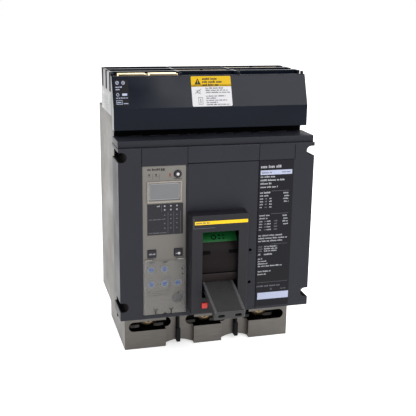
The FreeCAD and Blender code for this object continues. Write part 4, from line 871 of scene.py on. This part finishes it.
def caution_label():
    """Generic notice: a yellow band with a plain triangle over white rows of greeked print."""
    (left, right), _, (low, high) = span("caution_label")
    place = hood_face()
    split = high - 10.4
    ground = Print(place, 0.16)
    ground.rounded(left, low, right, split + 0.6, 1.2)
    ground.done("notice_paper", "paper", node="caution_label")
    band = Print(place, 0.18)
    band.rounded(left, split, right, high, 1.2)
    band.bar(left, split, right, split + 2)
    band.done("notice_band", "amber")
    ink = Print(lambda u, v, out: place(u, v, out + 0.18), 0.03)
    ink.polygon([(left + 3.6, split + 2.2), (left + 10.4, split + 2.2), (left + 7.0, split + 8.4)])
    for step in range(3):
        ink.row(left + 12.0, left + (28, 34, 30)[step], high - 3.7 - 3.0 * step, 2.2, 50 + step)
    ink.done("notice_ink", "ink")
    eye = Print(lambda u, v, out: place(u, v, out + 0.22), 0.02)
    eye.bar(left + 6.7, split + 4.0, left + 7.3, split + 6.4)
    eye.bar(left + 6.7, split + 3.0, left + 7.3, split + 3.5)
    eye.done("notice_triangle_mark", "amber")
    small = Print(lambda u, v, out: place(u, v, out + 0.16), 0.03)
    for step in range(3):
        small.row(left + 15, right - (9, 4, 1.5)[step], split - 2.2 - 2.1 * step, 1.4, 60 + step)
    for step in range(5):
        small.row(left + 15, right - (7, 17, 5, 15, 2)[step], split - 10.0 - 2.1 * step, 1.4, 70 + step)
    small.line((left + 3.5, split - 6.8), (left + 10.5, split - 2.0), 0.5)
    small.line((left + 4.5, split - 3.6), (left + 9.8, split - 7.4), 0.4)
    small.arc(left + 7.4, split - 4.8, 1.5, 1.9, sides=18)
    small.outline(left + 6.6, split - 17.6, left + 11.4, split - 10.4, 0.45)
    small.bar(left + 8.6, split - 16.4, left + 9.4, split - 11.8)
    small.done("notice_small_print", "grey_ink")


def approval_label():
    """Black label with two round marks and rows of greeked print."""
    (left, right), _, (low, high) = span("approval_label")
    place = hood_face()
    ground = Print(place, 0.16)
    ground.rounded(left, low, right, high, 0.6)
    ground.done("approval_ground", "black_ground", node="approval_label")
    marks = Print(lambda u, v, out: place(u, v, out + 0.16), 0.03)
    for x in (left + 3.1, left + 9.2):
        marks.arc(x, high - 2.9, 1.25, 1.75, sides=24)
        marks.disc(x, high - 2.9, 0.6)
    marks.row(left + 1.2, left + 7.6, high - 7.6, 1.3, 80)
    marks.row(left + 1.2, left + 6.4, high - 9.9, 1.1, 81)
    marks.arc(left + 3.0, high - 14.4, 1.0, 1.5, sides=20)
    marks.rounded(left + 7.4, high - 15.4, left + 12.6, high - 13.2, 0.5)
    marks.row(left + 1.2, right - 1.4, high - 18.0, 1.0, 82)
    marks.outline(left + 1.2, low + 1.8, left + 7.2, low + 6.0, 0.35)
    marks.row(left + 2.0, left + 6.6, low + 3.2, 1.2, 83)
    marks.row(left + 8.4, right - 1.2, low + 2.2, 1.1, 84)
    marks.done("approval_marks", "strip")


def rating_label():
    """Tall dark label: two pale strips and blocks of greeked print in columns."""
    (left, _), (front, _), _ = span("rating_label")
    refined("rating_label", "label_ground", (0.08, outer))
    strips = Print(facing(front), 0.03)
    strips.bar(left + 1.3, 151.0, 80.3, 155.9)
    strips.bar(left + 2.0, 11.0, 81.6, 18.8)
    strips.done("rating_strips", "strip")
    pale = Print(facing(front), 0.03)
    dim = Print(facing(front), 0.03)
    start = left + 1.4
    pale.row(start, start + 23, 158.3, 2.9, 90)
    for step, reach in enumerate((17, 27, 13, 20)):
        pale.row(start, start + reach, 148.0 - 3.7 * step, 1.9, 91 + step)
    for block, top in enumerate((133.0, 108.0)):
        dim.bar(start + 13, top, 78, top + 0.3)
        pale.row(start, start + 12, top - 2.2, 1.8, 100 + block)
        pale.row(start, start + 9.5, top - 5.4, 1.7, 102 + block)
        for step in range(4):
            low_edge = top - 8.6 - 3.1 * step
            pale.row(start, start + 3.8, low_edge, 1.6, 110 + step)
            dim.row(start + 5.6, start + 8.6, low_edge, 1.5, 120 + step)
            pale.row(start + 10.6 - 2 * block, start + 13.6, low_edge, 1.6, 130 + step)
            pale.row(71.5 + step % 2, 78, top - 3.2 - 3.1 * step, 1.6, 140 + step + 4 * block)
            if block:
                dim.row(62, 66, low_edge, 1.6, 150 + step)
    for step, reach in enumerate((27, 33, 27)):
        pale.row(start - 0.4, start + reach, 83.4 - 3.1 * step, 1.7, 160 + step)
    dim.bar(start + 14, 74.0, 78, 74.3)
    for step in range(3):
        dim.row(start, start + 5, 71.0 - 2.5 * step, 1.5, 170 + step)
        pale.row(start + 6.6, start + 22, 71.0 - 2.5 * step, 1.5, 180 + step)
    pale.row(start, start + 4, 62.0, 1.9, 190)
    pale.row(start + 6.6, start + 18, 62.0, 1.9, 191)
    for step, reach in enumerate((5.5, 11, 11, 28)):
        pale.row(start, start + reach, 57.2 - 2.8 * step, 1.6, 200 + step)
    for step, reach in enumerate((15, 10)):
        pale.row(start, start + reach, 42.8 - 3.3 * step, 1.6, 210 + step)
    dim.bar(start, 30.6, 80, 30.9)
    dim.row(start - 0.6, start + 27, 25.6, 1.8, 220)
    dim.arc(start + 16, 22.4, 0.6, 1.1, sides=16)
    dim.row(72, 78.5, 21.6, 1.3, 221)
    pale.done("rating_pale_print", "pale_ink")
    dim.done("rating_dim_print", "dim_ink")
    between = Print(facing(0.0), 0.03)
    between.row(32.8, 38.6, 65.4, 0.9, 230)
    between.done("plunger_hole_print", "inner")
    strip_ink = Print(facing(front - 0.03), 0.02)
    strip_ink.row(start + 1.2, start + 13, 152.6, 1.6, 231)
    strip_ink.row(69, 78.5, 152.8, 1.6, 232)
    strip_ink.done("strip_print", "grey_ink")


# ---- load side -------------------------------------------------------------------------------

def load_side():
    """Plated lugs with rounded slots, and the binding screws behind them."""
    for pole, centre in zip((1, 2, 3), LUG_CENTRES):
        def slot(middle, centre=centre):
            """Faces inside the lug's slot, but for the set-back front of the lug beside it; these take painted
            shade.
            """
            x, depth, height = middle
            return (35.6 < depth < 61 and abs(depth - 42) > 0.2 and -36 < height < -17.4
                    and abs(x - centre) < 24.7)

        refined(f"load_lug_{pole}", "lug", (0.45, lambda middle, length: length > 3 and middle[1] < 60),
                (0.3, lambda middle, length: length > 3 and middle[1] >= 60), dark=slot)
    screws = bmesh.new()
    _, (front, back), (low, high) = span("lug_screws")
    height, radius = (low + high) / 2, (high - low) / 2
    for x in LUG_CENTRES:
        turned(screws, x, height, [(front + 3.4, 0.6), (front + 3.4, 3.3, hexagonal),
                                   (front + 0.4, 3.3, hexagonal), (front + 0.1, 4.2), (front, 4.8),
                                   (front, radius - 1.6), (front + 0.5, radius - 0.6),
                                   (front + 1.4, radius, knurled),
                                   (back - 0.4, radius, knurled), (back, radius - 0.4)], sides=KNURL_SIDES)
    show("binding_screws", screws, "screw", "case", "lug_screws", sharp=40)


# ---- stage -----------------------------------------------------------------------------------

def camera():
    """Three-quarter view from the front left, above the cover."""
    yaw, pitch, roll = 0.271, -0.267, 0.015
    forward = Vector((math.sin(yaw) * math.cos(pitch), math.cos(yaw) * math.cos(pitch), math.sin(pitch)))
    level = Vector((math.cos(yaw), -math.sin(yaw), 0))
    upright = level.cross(forward)
    across = math.cos(roll) * level + math.sin(roll) * upright
    upward = math.cos(roll) * upright - math.sin(roll) * level
    eye = at(-220.779, -752.965, 332.26)
    data = bpy.data.cameras.new("camera")
    data.lens = 67.345
    data.sensor_width = 36
    data.clip_start = 0.02
    thing = bpy.data.objects.new("camera", data)
    thing.matrix_world = Matrix.Translation(eye) @ Matrix(
        (across, upward, -forward)).transposed().to_4x4()
    bpy.context.scene.collection.objects.link(thing)
    bpy.context.scene.camera = thing


def lamp(name, place, aim, size, power):
    """A soft lamp: a disk for one size, a rectangle for two."""
    data = bpy.data.lights.new(name, "AREA")
    if isinstance(size, tuple):
        data.shape = "RECTANGLE"
        data.size, data.size_y = size
    else:
        data.shape = "DISK"
        data.size = size
    data.energy = power
    thing = bpy.data.objects.new(name, data)
    thing.location = place
    thing.rotation_euler = (Vector(aim) - Vector(place)).to_track_quat("-Z", "Y").to_euler()
    bpy.context.scene.collection.objects.link(thing)


def studio():
    """White surroundings, a pale floor and three soft lamps."""
    world = bpy.data.worlds.new("studio")
    bpy.context.scene.world = world
    world.use_nodes = True
    background = world.node_tree.nodes["Background"]
    background.inputs["Color"].default_value = (1.0, 1.0, 1.0, 1.0)
    background.inputs["Strength"].default_value = 1.0
    bm = bmesh.new()
    ground = CAD_BOX[0].z
    corners = [bm.verts.new((x, y, ground)) for x, y in ((-12, -12), (12, -12), (12, 12), (-12, 12))]
    bm.faces.new(corners)
    mesh = bpy.data.meshes.new("floor")
    bm.to_mesh(mesh)
    bm.free()
    pale = Shader("pale_floor", Emission_Strength=0.55, Roughness=0.9)
    pale.surface.inputs["Emission Color"].default_value = (1, 1, 1, 1)
    tone = pale.math("MULTIPLY_ADD", pale.noise(400, 2.0), 0.02)
    tone.node.inputs[2].default_value = 0.91
    pale.join(pale.scaled((1.0, 1.0, 1.0), tone), pale.surface.inputs["Base Color"])
    mesh.materials.append(pale.material)
    floor = bpy.data.objects.new("floor", mesh)
    bpy.context.scene.collection.objects.link(floor)
    lamp("softbox", (0.87, -1.38, 1.12), (0, -0.1, 0.12), (1.25, 0.9), 23)
    lamp("key", (-1.3, -1.1, 1.6), (0, -0.1, 0), 1.1, 5)
    lamp("top", (0.3, 0.3, 1.9), (0, -0.05, 0), 1.4, 8)
    bpy.context.scene.view_settings.view_transform = "Standard"


for build in (case, mechanism_and_copper, handle_block, handle, display, bar_graph, keys, dials,
              trip_unit_print, settings_flap, caution_label, approval_label, rating_label, load_side,
              camera, studio):
    build()
